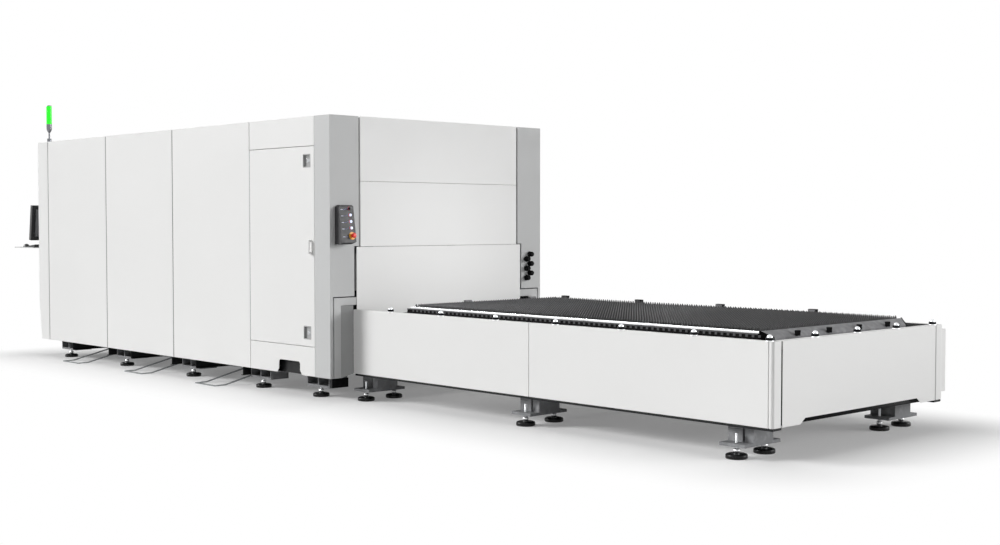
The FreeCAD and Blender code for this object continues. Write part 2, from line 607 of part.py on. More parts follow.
def service_door():
    left = f"({DOOR_AXIS} + hinge_radius + running_gap)"
    bottom = "skirt_z + plinth_height + 3"
    height = "cell_height - header_height - skirt_z - plinth_height - 6"
    tray = cassette("door_tray", (f"0 - column_length - 3 - {left}", "door_depth", height),
                    (left, "0 - half_width", bottom), "+Y")
    holes = [box("door_hole_" + z, ("cup_width - 8", "skin + 2", "cup_height - 8"),
                 (f"{CUP_LEFT} + 4", "0 - half_width - 1", f"{z} + 4"))
             for z in ("upper_cup_z", "lower_cup_z")]
    finish("access_door", less("door_leaf", tray, *holes))

    cups = []
    for z in ("upper_cup_z", "lower_cup_z"):
        rim = box("cup_rim_" + z, ("cup_width", "skin", "cup_height"), (CUP_LEFT, "0 - half_width - skin", z))
        bowl = box("cup_bowl_" + z, ("cup_width - 8", "cup_depth", "cup_height - 8"),
                   (f"{CUP_LEFT} + 4", "0 - half_width - skin", f"{z} + 4"))
        inside = box("cup_inside_" + z, ("cup_width - 14", "cup_depth", "cup_height - 14"),
                     (f"{CUP_LEFT} + 7", "0 - half_width - skin - 3", f"{z} + 7"))
        bore = (S.latch_shaft + S.running_gap) / math.cos(math.pi / LATCH_SIDES)
        shaft = faceted("cup_shaft_" + z, LATCH_SIDES, [(bore, 0), (bore, 30)],
                        (LATCH_X, "0 - half_width - 5", f"{z} + cup_height / 2"), "+Y")
        cups.append(less("cup_" + z, join("cup_solid_" + z, rim, bowl), inside, shaft))
    finish("latch_cups", group("cup_set", *cups))

    for node, z in (("upper_latch", "upper_cup_z"), ("lower_latch", "lower_cup_z")):
        middle = f"{z} + cup_height / 2"
        face = "0 - half_width + cup_depth - 5 - running_gap"
        shaft = faceted(node + "_shaft", LATCH_SIDES, [(S.latch_shaft, 0), (S.latch_shaft, S.cup_depth + 8)],
                        (LATCH_X, "0 - half_width - 2", middle), "+Y")
        head = faceted(node + "_head", LATCH_SIDES, [(S.latch_radius - 1, 0), (S.latch_radius, 10)],
                       (LATCH_X, f"{face} - 10", middle), "+Y")
        grip = box(node + "_grip", ("8", "12", "2 * latch_radius + 4"),
                   (f"{LATCH_X} - 4", f"{face} - 20", f"{middle} - latch_radius - 2"))
        cam = box(node + "_cam", ("14", "4", "34"),
                  (f"{LATCH_X} - 7", "0 - half_width + cup_depth + 1", f"{middle} - 9"))
        finish(node, join(node + "_weld", shaft, head, grip, cam))

    right = "0 - column_length - pull_from_edge"
    grip = box("pull_grip", ("pull_width", "8", "pull_height"),
               (f"{right} - pull_width", "0 - half_width - pull_reach", "pull_z"))
    legs = [box(f"pull_leg_{n}", ("pull_width", "pull_reach", "12"),
                (f"{right} - pull_width", "0 - half_width - pull_reach", z))
            for n, z in enumerate(("pull_z", "pull_z + pull_height - 12"))]
    finish("door_pull", join("pull_weld", grip, *legs))


FRONT_AXIS_Y = "front_door_half"


def hinges():
    """Piano hinges: a barrel in the seam with its fixed leaf running back to the frame."""
    height = "cell_height - header_height - skirt_z - plinth_height - 20"
    low = "skirt_z + plinth_height + 10"
    barrel = rod("service_barrel", "hinge_radius", height,
                 (DOOR_AXIS, "0 - half_width + hinge_radius", low))
    leaf = box("service_leaf", ("hinge_radius", "fold - hinge_radius", height),
               (f"{DOOR_AXIS} - hinge_radius", "0 - half_width + hinge_radius", low))
    front_height = "front_door_top - lean_z - 20"
    front_barrel = rod("front_barrel", "hinge_radius", front_height,
                       (f"{X_FRONT} + hinge_radius", FRONT_AXIS_Y, "lean_z + 10"))
    front_leaf = box("front_leaf", ("fold - hinge_radius", "seam - running_gap", front_height),
                     (f"{X_FRONT} + hinge_radius", FRONT_AXIS_Y, "lean_z + 10"))
    finish("door_hinges", group("hinge_set", join("service_hinge", barrel, leaf),
                                join("front_hinge", front_barrel, front_leaf)))


# ------------------------------------------------------------------------------------------------
# Operator's end: fixed panels, door with window, console and signal light
# ------------------------------------------------------------------------------------------------
def front_wall(name, low_y, width):
    """A stretch of the operator's end wall, which leans in towards the floor."""
    return padded(name, "XZ",
                  [("0", "cell_height"), ("0", "lean_z"), ("lean_depth", "skirt_z"),
                   ("lean_depth + fold", "skirt_z"), ("fold", "lean_z"), ("fold", "cell_height")],
                  width, (X_FRONT, low_y, "0"))


def operator_end():
    side_width = "half_width - fold - front_door_half - seam"
    near = front_wall("front_near", "0 - half_width + fold", side_width + " + seam - running_gap")
    far = front_wall("front_far", "front_door_half + seam", side_width)
    middle = front_wall("front_middle", "0 - front_door_half", "2 * front_door_half")
    header = doc.addObject("Part::Common", "front_header")
    header.Base = middle
    header.Tool = box("front_header_cut", ("200", "2 * half_width", "cell_height"),
                      (f"{X_FRONT} - 50", "0 - half_width", "front_door_top"))
    plinth = doc.addObject("Part::Common", "front_plinth")
    plinth.Base = front_wall("front_low", "0 - front_door_half", "2 * front_door_half")
    plinth.Tool = box("front_plinth_cut", ("200", "2 * half_width", "front_door_bottom"),
                      (f"{X_FRONT} - 50", "0 - half_width", "0"))
    finish("operator_end_panels", group("front_set", near, far, header, plinth))

    leaf = front_wall("front_leaf_panel", "0 - front_door_half + 3",
                      "2 * front_door_half - 3 - hinge_radius - running_gap")
    trimmed = doc.addObject("Part::Common", "front_door_trim")
    trimmed.Base = leaf
    trimmed.Tool = box("front_door_span", ("200", "2 * half_width",
                                           "front_door_top - front_door_bottom - 6"),
                       (f"{X_FRONT} - 50", "0 - half_width", "front_door_bottom + 3"))
    opening = box("window_opening", ("200", "2 * window_half", "window_top - window_bottom"),
                  (f"{X_FRONT} - 50", "0 - window_half", "window_bottom"))
    grip_y = "0 - front_door_half + 64"
    grip = box("front_grip", ("8", "26", "300"), (f"{X_FRONT} - 40", grip_y, "1000"))
    legs = [box(f"front_grip_leg_{n}", ("40", "26", "16"), (f"{X_FRONT} - 40", grip_y, z))
            for n, z in enumerate(("1000", "1284"))]
    finish("operator_door", join("front_door_weld", less("front_door_cut", trimmed, opening), grip, *legs))
    finish("operator_window", box("window_pane", ("10", "2 * window_half", "window_top - window_bottom"),
                                  (f"{X_FRONT} + 12", "0 - window_half", "window_bottom")))


def console():
    """A swivel console: fixed socket, tray with its upright, keyboard and a tilting monitor."""
    pivot_x = f"({X_FRONT} - console_x)"
    plate = box("socket_plate", ("8", "120", "320"), (f"{X_FRONT} - 8", "0 - console_y - 60", "1040"))
    arm = box("socket_arm", ("console_x - 8", "50", "60"),
              (pivot_x, "0 - console_y - 25", "1170"))
    socket = hexagon("socket", "35", "90", (pivot_x, "0 - console_y", "1155"))
    bore = rod("socket_bore", "swivel_pin_radius + 0.05", "80", (pivot_x, "0 - console_y", "1166"))
    finish("console_arm", less("console_arm_bored", join("console_arm_weld", plate, arm, socket), bore))

    pin = rod("swivel_pin", "swivel_pin_radius", "78", (pivot_x, "0 - console_y", "1168"))
    hub = hexagon("swivel_hub", "35", "20", (pivot_x, "0 - console_y", "1245 + running_gap"))
    yoke = box("swivel_yoke", ("90", "50", "20"),
               (f"{pivot_x} - 90", "0 - console_y - 25", "1245 + running_gap"))
    upright = box("upright", ("30", "50", "monitor_z - tray_z + 20"),
                  (f"{pivot_x} - 90", "0 - console_y - 25", "tray_z"))
    back = f"({X_FRONT} - tray_reach)"
    tray = box("tray_plate", (f"{pivot_x} - 60 - {back}", "tray_width", "8"),
               (back, "0 - console_y - 220", "tray_z"))
    rim = box("tray_rim", (f"{pivot_x} - 60 - {back}", "6", "18"),
              (back, "0 - console_y + tray_width - 226", "tray_z"))
    tilt_x = f"({pivot_x} - tilt_set)"
    lug = join("tilt_lug",
               rod("tilt_boss", "16", "50", (tilt_x, "0 - console_y - 25", "monitor_z"), "+Y"),
               box("tilt_web", ("25", "50", "32"), (tilt_x, "0 - console_y - 25", "monitor_z - 16")))
    pivot = rod("tilt_pin", "tilt_pin_radius", "170", (tilt_x, "0 - console_y - 85", "monitor_z"), "+Y")
    finish("console_tray", join("console_tray_weld", pin, hub, yoke, upright, tray, rim, lug, pivot))

    keys = padded("key_slab", "XZ", [("0", "0"), ("180", "0"), ("180", "30"), ("0", "14")],
                  "400", (f"{pivot_x} - 280", "0 - console_y - 190", "tray_z + 8"))
    mouse = softened(padded("mouse", "XY", [("0", "0"), ("84", "0"), ("84", "62"), ("0", "62")],
                            "34", (f"{back} + 150", "0 - console_y - 205", "tray_z + 8")),
                     "16", lambda edge: edge.BoundBox.ZMin > 30)
    finish("keyboard", group("keyboard_set", keys, mouse))

    # The monitor is drawn about its tilt axis and leans back with its lower edge towards the operator
    lean = FreeCAD.Rotation(V(0, 1, 0), S.monitor_lean)
    case = padded("monitor_case", "YZ",
                  [("8", "0"), ("monitor_width - 8", "0"), ("monitor_width", "8"),
                   ("monitor_width", "monitor_height - 8"), ("monitor_width - 8", "monitor_height"),
                   ("8", "monitor_height"), ("0", "monitor_height - 8"), ("0", "8")],
                  "45", ("0 - 85", "0 - monitor_width / 2", "0 - monitor_height / 2"))
    hump = padded("monitor_back", "XZ",
                  [("0", "40"), ("22", "70"), ("22", "270"), ("0", "330")],
                  "monitor_width - 80", ("0 - 40", "0 - 180", "0 - 185"))
    ears = [box(f"monitor_ear_{n}", ("44", "28", "44"), ("0 - 20", y, "0 - 22"))
            for n, y in enumerate(("0 - 82", "54"))]
    holes = [rod(f"monitor_hole_{n}", "tilt_pin_radius + 0.1", "40", ("0", y, "0"), "+Y")
             for n, y in enumerate(("0 - 88", "50"))]
    solid = less("monitor_bored", join("monitor_weld", case, hump, *ears), *holes)
    solid.Placement = FreeCAD.Placement(V(0, 0, 0), lean)
    places[solid.Name] = (tilt_x, "0 - console_y", "monitor_z")
    solid.setExpression("Placement.Base.z", cell("monitor_z"))
    finish("monitor", solid)


def signal_light():
    x, y = "0 - light_x", "0 - light_y"
    top, lens = S.cell_height, S.lens_radius
    stand = faceted("light_stand", 12, [(22, top), (22, top + 40), (8, top + 42), (8, top + 100),
                                        (20, top + 116), (lens - 1, top + 140), (lens - 1, S.lens_bottom)],
                    (x, y, "0"))
    cap = faceted("light_cap", 12, [(lens, 0), (lens - 5, 9)], (x, y, "lens_bottom + lens_height"))
    finish("signal_light_stand", group("stand_set", stand, cap))
    finish("signal_light_lens", faceted("light_lens", 12, [(lens, 0), (lens, S.lens_height)],
                                        (x, y, "lens_bottom")))


# ------------------------------------------------------------------------------------------------
# Control box and cable glands on the columns
# ------------------------------------------------------------------------------------------------
BOX_TILT = math.degrees(math.atan2(S.box_bottom_depth - S.box_top_depth, S.box_height))
FACE_OUT = FreeCAD.Rotation(V(0, 1, 0), 90 - BOX_TILT)     # Z of a turned piece -> out of the sloping face


BUTTON_SIDES = 12


def face_depth(z):
    """How far the control box's sloping face stands out, at a height above the box's foot."""
    return f"(box_bottom_depth - ({z}) * (box_bottom_depth - box_top_depth) / box_height)"


def at_face(z, out=0.0):
    """A point on the sloping face, at a height above the box's foot, moved out of the face."""
    tilt = math.radians(BOX_TILT)
    return (f"{face_depth(z)} + ({out * math.cos(tilt)})", "0 - button_y",
            f"box_bottom + {z} + ({out * math.sin(tilt)})")


BUTTON_HEIGHTS = {"push_button_1": "225", "push_button_2": "175", "push_button_3": "125",
                  "selector_knob": "275", "stop_button": "65"}
BOX_CORNERS = {                # the bevelled corners of the box's outline: run along Y, run along Z
    "high_near": ("0", "20", "box_height", "0 - 18"),
    "high_far": ("box_width", "0 - 8", "box_height", "0 - 8"),
    "low_far": ("box_width", "0 - 44", "0", "18"),
}


def control_box():
    case = padded("box_case", "XZ",
                  [("0", "0"), ("box_bottom_depth - 14", "0"), (face_depth("12"), "12"),
                   (face_depth("box_height - 10"), "box_height - 10"), ("box_top_depth - 10", "box_height"),
                   ("0", "box_height")],
                  "box_width", ("0", "0 - box_y", "box_bottom"))
    corners = [padded("box_corner_" + name, "YZ",
                      [(y, z), (f"{y} + {run}", z), (y, f"{z} + {rise}")],
                      "box_bottom_depth + 2", ("0 - 1", "0 - box_y", "box_bottom"))
               for name, (y, run, z, rise) in BOX_CORNERS.items()]
    bore = (S.button_radius + S.running_gap) / math.cos(math.pi / BUTTON_SIDES)
    wells = [faceted(node + "_well", BUTTON_SIDES, [(bore, 0), (bore, 40)], at_face(z, -14), FACE_OUT)
             for node, z in BUTTON_HEIGHTS.items()]
    finish("control_box", less("box_drilled", case, *corners, *wells))

    collars = []
    for node, z in BUTTON_HEIGHTS.items():
        outer = S.stop_collar if node == "stop_button" else S.button_radius + S.collar
        ring = faceted(node + "_ring", BUTTON_SIDES, [(outer, 0), (outer - 1, 3)], at_face(z, 0.02), FACE_OUT)
        hole = faceted(node + "_ring_hole", BUTTON_SIDES, [(bore, -1), (bore, 4)], at_face(z, 0.02), FACE_OUT)
        collars.append(less(node + "_collar", ring, hole))
    finish("button_collars", group("collar_set", *collars))
    cap, foot = S.button_radius, -7
    for number in (1, 2, 3):
        node = f"push_button_{number}"
        finish(node, faceted(node + "_cap", BUTTON_SIDES, [(cap, foot), (cap, 5), (cap - 3, 8)],
                             at_face(BUTTON_HEIGHTS[node]), FACE_OUT))
    height = BUTTON_HEIGHTS["selector_knob"]
    stem = faceted("selector_stem", BUTTON_SIDES, [(cap, foot), (cap, 12)], at_face(height), FACE_OUT)
    x, y, z = at_face(height, 11)
    corner = FACE_OUT.multVec(V(-4, -12, 0))
    bar = put(doc.addObject("Part::Box", "selector_bar"),
              (f"{x} + ({corner.x})", f"{y} + ({corner.y})", f"{z} + ({corner.z})"), FACE_OUT)
    bar.Length, bar.Width, bar.Height = 8, 24, 11
    finish("selector_knob", join("selector_weld", stem, bar))
    finish("stop_button", faceted("stop_mushroom", BUTTON_SIDES, [
        (cap, foot), (cap, 20), (S.stop_radius, 22), (S.stop_radius, 30), (S.stop_radius - 6, 36)],
        at_face(BUTTON_HEIGHTS["stop_button"]), FACE_OUT))


def glands():
    """Two staggered columns of black cable glands in the far column."""
    nut = hexagon("gland_nut", "gland_radius", "16", ("0", "0", "0"), "+X")
    dome = faceted("gland_dome", 8, [(S.gland_radius - 3, 16), (S.gland_radius - 3, 38),
                                     (S.gland_radius - 7, 46)], ORIGIN, "+X")
    gland = join("gland", nut, dome)
    spots = [(0, S.gland_y + S.gland_radius * 0.3 - (n % 2) * S.gland_pitch, S.gland_z - n * S.gland_pitch)
             for n in range(6)]
    finish("cable_glands", copies("gland_set", gland, spots))


# ------------------------------------------------------------------------------------------------
# Exchange table
# ------------------------------------------------------------------------------------------------
def table():
    run = f"(table_end_x - fold - table_start - 20)"
    start = "table_start + 15"
    side_height = "table_top - table_bottom - 11"
    beams = []
    for side, y, lip_y in (("near", "0 - table_half + fold", "0 - table_half + 4"),
                           ("far", "beam_half", "beam_half")):
        beams.append(box("side_beam_" + side, (run, "table_half - fold - beam_half", side_height),
                         (start, y, "table_bottom")))
        beams.append(box("lip_" + side, (f"{run} + fold", "table_half - 4 - beam_half", "lip_height"),
                         (start, lip_y, "table_bottom - lip_height")))
    beams.append(box("end_beam", ("fold", "2 * beam_half", "400"),
                     ("table_end_x - 2 * fold - 5", "0 - beam_half", "table_bottom")))
    for foot in TABLE_FEET:
        beams.append(box("table_cross_" + foot, ("cross_tube", "2 * beam_half", "cross_tube"),
                         (f"{foot} - cross_tube / 2", "0 - beam_half", "table_bottom")))
    finish("table_frame", group("table_frame_set", *beams))

    panels = []
    height = "table_top - table_bottom"
    for side, y, back in (("near", "0 - table_half", "+Y"), ("far", "table_half - fold", "-Y")):
        panels.append(cassette(f"table_{side}_1", ("table_split - seam / 2", "fold", height),
                               ("table_start", y, "table_bottom"), back))
        panels.append(cassette(f"table_{side}_2", ("table_length - table_split - seam / 2", "fold", height),
                               ("table_start + table_split + seam / 2", y, "table_bottom"), back))
    finish("table_side_panels", group("table_panel_set", *panels))

    end = padded("table_end", "YZ",
                 [("0 - corner_half + end_seam", "table_bottom"), ("0 - end_notch_low", "table_bottom"),
                  ("0 - end_notch_high", "end_notch_z"), ("end_notch_high", "end_notch_z"),
                  ("end_notch_low", "table_bottom"), ("corner_half - end_seam", "table_bottom"),
                  ("corner_half - end_seam", "table_top"), ("0 - corner_half + end_seam", "table_top")],
                 "end_sheet", ("table_end_x - end_sheet", "0", "0"))
    lip = box("table_end_lip", ("fold + 5", "2 * (corner_half - end_seam)", "end_sheet"),
              ("table_end_x - fold - 5", "0 - corner_half + end_seam", "table_top - end_sheet"))
    finish("table_end_panel", join("table_end_weld", end, lip))

    corner = padded("near_corner", "XY",
                    [("0", "corner_groove"), ("corner_groove", "0"), ("corner_run - 14", "0"),
                     ("corner_run - 4", "5"), ("corner_run", "14"),
                     ("corner_run", "table_half - corner_half - corner_groove"),
                     ("corner_run - corner_groove", "table_half - corner_half"),
                     ("corner_run - fold", "table_half - corner_half"), ("corner_run - fold", "fold"),
                     ("0", "fold")],
                    height, ("table_start + table_length", "0 - table_half", "table_bottom"))
    finish("table_corner_covers", group("corner_set", corner, mirrored("far_corner", corner)))

    flange = box("cover_flange_box", ("cover_length + 40", "cover_flange", "500"),
                 ("table_start + table_length - cover_length - 45", "table_half", "195"))
    hood = padded("cover_hood", "XY",
                  [("0", "0"), ("cover_length", "0"), ("cover_length", "cover_reach - cover_flange"),
                   ("20", "cover_reach - cover_flange"), ("0", "cover_reach - cover_flange - 20")],
                  "420", ("table_start + table_length - cover_length - 25",
                          "table_half + cover_flange", "240"))
    finish("drive_cover", join("drive_cover_weld", flange, hood))

    cup, ball = S.cup_radius, S.transfer_ball
    transfer = faceted("transfer", 8, [(cup, 0), (cup, 8), (ball, 10), (ball, 20), (ball * 0.4, 30)], ORIGIN)
    side_y = -S.table_half + S.fold / 2 - 6
    end_x = S.table_start + S.table_length + S.corner_run - S.cup_radius - 2
    spots = [(S.ball_first + n * S.ball_pitch, side_y, S.table_top) for n in range(int(S.ball_count))]
    spots.append((end_x - 14, side_y + 2, S.table_top))
    spots += [(end_x, S.ball_end_shift + n * S.ball_end_pitch, S.table_top) for n in (-1, 0, 1, 2)]
    finish("ball_transfers", copies("transfer_set", transfer, spots))


# ------------------------------------------------------------------------------------------------
# Pallets with their toothed slats, and the tracks that they slide on
# ------------------------------------------------------------------------------------------------
def slat(name, teeth):
    """One slat: a flat strip whose upper edge is a row of teeth."""
    half = S.pallet_half - S.rail_width - 0.5
    height, depth = S.blade_height, S.tooth_depth
    low = S.pallet_top - height
    pitch = 2 * half / teeth
    points = [V(0, -half, low), V(0, half, low)]
    for n in range(teeth):
        right = half - n * pitch
        points.append(V(0, right, S.pallet_top - depth))
        points.append(V(0, right - pitch / 2, S.pallet_top))
    points.append(V(0, -half, S.pallet_top - depth))
    wire = Part.makePolygon(points + [points[0]])
    obj = doc.addObject("Part::Feature", name)
    obj.Shape = Part.Face(wire).extrude(V(S.blade_thickness, 0, 0))
    return obj


FAR_STOPS = (92, 896, 1691, 2501)      # stop blocks beside the far rail, from the pallet's start
START_STOPS = (-202, 510)              # stop blocks on the start plate


def pallet(level, drop, shift, teeth):
    """A pallet welded from tubes: side rails with shoes, cross bars, end plates, and slats across it."""
    z = f"(pallet_rail_z - {drop})"
    x = f"(pallet_start - {shift})"
    length = "(pallet_end - pallet_start)"
    pieces = []
    for side, y, shoe_y in (("near", "0 - pallet_half", "0 - pallet_half - shoe"),
                            ("far", "pallet_half - rail_width", "pallet_half")):
        pieces.append(box(f"{level}_rail_{side}", (f"{length} - 42", "rail_width", "rail_depth"),
                          (f"{x} + 16", y, z)))
        for n in range(4):
            pieces.append(box(f"{level}_shoe_{side}_{n}", ("shoe_length", "shoe", "shoe_height"),
                              (f"{x} + bar_from_end + {n} * ({length} - 2 * shoe_length) / 3", shoe_y,
                               f"{z} - pallet_rail_z + track_z + running_gap")))
    for n in range(5):
        pieces.append(box(f"{level}_bar_{n}", ("bar_width", "2 * (pallet_half - rail_width)", "bar_height"),
                          (f"{x} + bar_from_end + {n} * ({length} - 2 * bar_from_end - bar_width) / 4",
                           "0 - pallet_half + rail_width", z)))
    pieces.append(padded(f"{level}_end", "XZ",
                         [("0", "30"), ("0", "128"), ("10", "130"), ("74", "92"), ("74", "30")],
                         "2 * pallet_half", (f"{x} + {length} - 26", "0 - pallet_half", z)))
    pieces.append(padded(f"{level}_start", "XZ",
                         [("0", "72"), ("0", "84"), ("28", "start_plate_rise"), ("36", "start_plate_rise"),
                          ("36", "72")],
                         "2 * pallet_half", (f"{x} - 20", "0 - pallet_half", z)))
    stops = []
    if level == "upper":
        stop_foot = f"({z} + rail_depth - stop_overlap)"
        for n, stop_x in enumerate(FAR_STOPS):
            stops.append(box(f"stop_far_{n}", ("60", "34", f"pallet_top + stop_rise - {stop_foot}"),
                             (f"{x} + {stop_x} - 30", "pallet_half", stop_foot)))
        for n, stop_y in enumerate(START_STOPS):
            stops.append(box(f"stop_start_{n}",
                             ("22", "70", f"pallet_top + stop_rise - {z} - start_plate_rise"),
                             (f"{x} - 6", f"{stop_y} - 35", f"{z} + start_plate_rise")))
    finish(f"{level}_pallet_frame", group(f"{level}_frame_set", *pieces, *stops))
    blade = slat(f"{level}_slat", teeth)
    doc.recompute()
    move, fall = (0, 0) if level == "upper" else (-S.exchange, -S.level_drop)
    count = int((S.pallet_end - S.blade_from_end - S.blade_first) // S.blade_pitch) + 1
    spots = [(S.blade_first + n * S.blade_pitch + move, 0, fall) for n in range(count)]
    finish(f"{level}_pallet_slats", copies(f"{level}_slat_set", blade, spots))


def pallets():
    """The upper pallet lies on the table and the lower one in the cell, one exchange run away."""
    pallet("upper", "0", "0", int(S.tooth_count))
    pallet("lower", "level_drop", "exchange", int(S.lower_tooth_count))
    strips = [box(f"strip_{n}", ("strip_length / 4 - 3", "5", "strip_height"),
                  (f"strip_start + {n} * strip_length / 4", "0 - pallet_half - 5",
                   "pallet_top - strip_drop - strip_height")) for n in range(4)]
    finish("side_strips", group("strip_set", *strips))
    tracks = []
    for place, x, length in (("cell", "0 - bed_end - bed_length", "bed_length + 170"),
                             ("table", "table_start + 20", "table_end_x - 2 * fold - 10 - table_start - 20")):
        for level, z in (("upper", "track_z - 10"), ("lower", "track_z - 10 - level_drop")):
            for side, y in (("near", "0 - beam_half"), ("far", "beam_half - track_width")):
                tracks.append(box(f"track_{place}_{level}_{side}", (length, "track_width", "10"), (x, y, z)))
    finish("pallet_tracks", group("track_set", *tracks))


# ------------------------------------------------------------------------------------------------
# Inside the cell: bed, gantry, cutting head, laser cabinet, scrap drawers
# ------------------------------------------------------------------------------------------------
def bed():
    base_top = "skirt_z + base_tube"
    beams = [box("bed_" + side, ("bed_length", "bed_width", f"bed_height - ({base_top})"),
                 ("0 - bed_end - bed_length", y, base_top))
             for side, y in (("near", "0 - beam_half - bed_width"), ("far", "beam_half"))]
    beams.append(box("bed_end_beam", ("120", "2 * beam_half", "200"),
                     ("0 - bed_end - bed_length", "0 - beam_half", "track_z")))
    finish("machine_bed", group("bed_set", *beams))
    rails = [box("rail_" + side, ("bed_length - 60", "rail_height", "rail_height"),
                 ("0 - bed_end - bed_length + 30", y, "bed_height"))
             for side, y in (("near", "0 - beam_half - 70 - rail_height / 2"),
                             ("far", "beam_half + 70 - rail_height / 2"))]
    finish("gantry_rails", group("rail_set", *rails))


RAIL_TOP = "(bed_height + rail_height + running_gap)"


def gantry():
    x = "0 - gantry_x"
    trucks = [box("truck_" + side, ("truck_length", "110", f"beam_bottom - {RAIL_TOP}"), (x, y, RAIL_TOP))
              for side, y in (("near", "0 - beam_half - 125"), ("far", "beam_half + 15"))]
    beam = box("beam", ("beam_depth", "2 * (beam_half + 125)", "beam_height"),
               (f"{x} + (truck_length - beam_depth) / 2", "0 - beam_half - 125", "beam_bottom"))
    front = f"({x} + (truck_length + beam_depth) / 2)"
    ways = [box(f"cross_way_{n}", ("20", "2 * beam_half", "20"), (front, "0 - beam_half", z))
            for n, z in enumerate(("beam_bottom + 40", "beam_bottom + beam_height - 60"))]
    finish("gantry_beam", join("gantry_weld", beam, *trucks, *ways))

    slide_x = f"({front} + 20 + running_gap)"
    plate = box("carriage_plate", ("30", "2 * carriage_half", "beam_height + 40"),
                (slide_x, "0 - carriage_half", "beam_bottom - 10"))
    hood = box("carriage_hood", ("beam_depth + 90", "2 * carriage_half", "60"),
               (f"{slide_x} - beam_depth - 60", "0 - carriage_half", "beam_bottom + beam_height + 25"))
    finish("gantry_carriage", join("carriage_weld", plate, hood))

    head_x = f"({slide_x} + 30 + running_gap)"
    plate = box("head_plate", ("20", "110", "260"), (head_x, "0 - 55", "beam_bottom + 20"))
    tip, thick = S.nozzle_radius, S.head_radius
    body = faceted("head_body", 12, [(tip, 0), (tip + 4, 18), (16, 30), (30, 64), (thick, 80), (thick, 300),
                                     (18, 320), (18, 380)], (f"{head_x} + 18 + head_radius", "0", "nozzle_z"))
    finish("cutting_head", join("head_weld", plate, body))


def laser_cabinet():
    x = f"({X_CHEEK} + 50)"
    case = box("cabinet_case", ("500", "820", "1480"), (x, "160", "skirt_z + base_tube"))
    door = box("cabinet_door", ("12", "780", "1400"), (f"{x} - 12", "180", "skirt_z + base_tube + 40"))
    finish("laser_cabinet", join("cabinet_weld", case, door))


def drawers():
    """Low scrap drawers under the cell, each with a tow frame that slopes down to the floor."""
    for number in (1, 2, 3):
        middle, tow = f"0 - drawer_{number}", f"0 - tow_{number}"
        pan_size = ("2 * drawer_half", "drawer_length", "drawer_height")
        pan_at = (f"{middle} - drawer_half", "0 - drawer_y", "drawer_z")
        pan = less(f"pan_{number}", box(f"pan_out_{number}", pan_size, pan_at),
                   box(f"pan_in_{number}",
                       ("2 * (drawer_half - pan_wall)", "drawer_length - 2 * pan_wall", "drawer_height"),
                       (f"{middle} - drawer_half + pan_wall", "0 - drawer_y + pan_wall",
                        "drawer_z + pan_wall")))
        rails = []
        for side in ("0 - tow_half - tow_width / 2", "tow_half - tow_width / 2"):
            rails.append(padded(f"tow_{number}_{len(rails)}", "YZ",
                                [("0", "2"), ("toe_length", "2"), ("toe_y - drawer_y", "drawer_z - 4"),
                                 ("toe_y - drawer_y + 60", "drawer_z - 4"),
                                 ("toe_y - drawer_y + 60", "drawer_z"),
                                 ("toe_y - drawer_y", "drawer_z"), ("toe_y - drawer_y", "drawer_z + 8"),
                                 ("toe_length - 2", "12"), ("0", "10")],
                                "tow_width", (f"{tow} + {side}", "0 - toe_y", "0")))
        toe = box(f"toe_{number}", ("2 * tow_half", "30", "5"), (f"{tow} - tow_half", "0 - toe_y", "2"))
        finish(f"scrap_drawer_{number}", join(f"drawer_weld_{number}", pan, toe, *rails))


# ------------------------------------------------------------------------------------------------
# Build, check and write
# ------------------------------------------------------------------------------------------------
for build in (base_frame, foot_brackets, feet, wall_frame, side_panels, door_bay, corner_columns, end_panels,
              lift_door, roof, link_covers, service_door, hinges, operator_end, console, signal_light,
              control_box, glands, table, pallets, bed, gantry, laser_cabinet, drawers):
    build()
doc.recompute()

failed = [obj.Name for obj in doc.Objects if "Invalid" in obj.State or "Error" in obj.State]
if failed:
    raise RuntimeError("these objects did not build: " + ", ".join(failed))
for node, obj in finished.items():
    if obj.Shape.isNull() or not obj.Shape.isValid():
        raise RuntimeError("no valid solid for " + node)
    if not obj.Shape.Solids:
        raise RuntimeError("nothing solid in " + node)
    obj.Shape.exportStep("parts/%s.step" % node)
total = Part.makeCompound([obj.Shape for obj in finished.values()]).BoundBox
print(len(finished), "pieces; box X %.1f..%.1f Y %.1f..%.1f Z %.1f..%.1f"
      % (total.XMin, total.XMax, total.YMin, total.YMax, total.ZMin, total.ZMax))
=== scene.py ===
import json
import math

import bmesh
import bpy
from bpy.props import FloatProperty, FloatVectorProperty, IntProperty, PointerProperty
from mathutils import Matrix, Vector

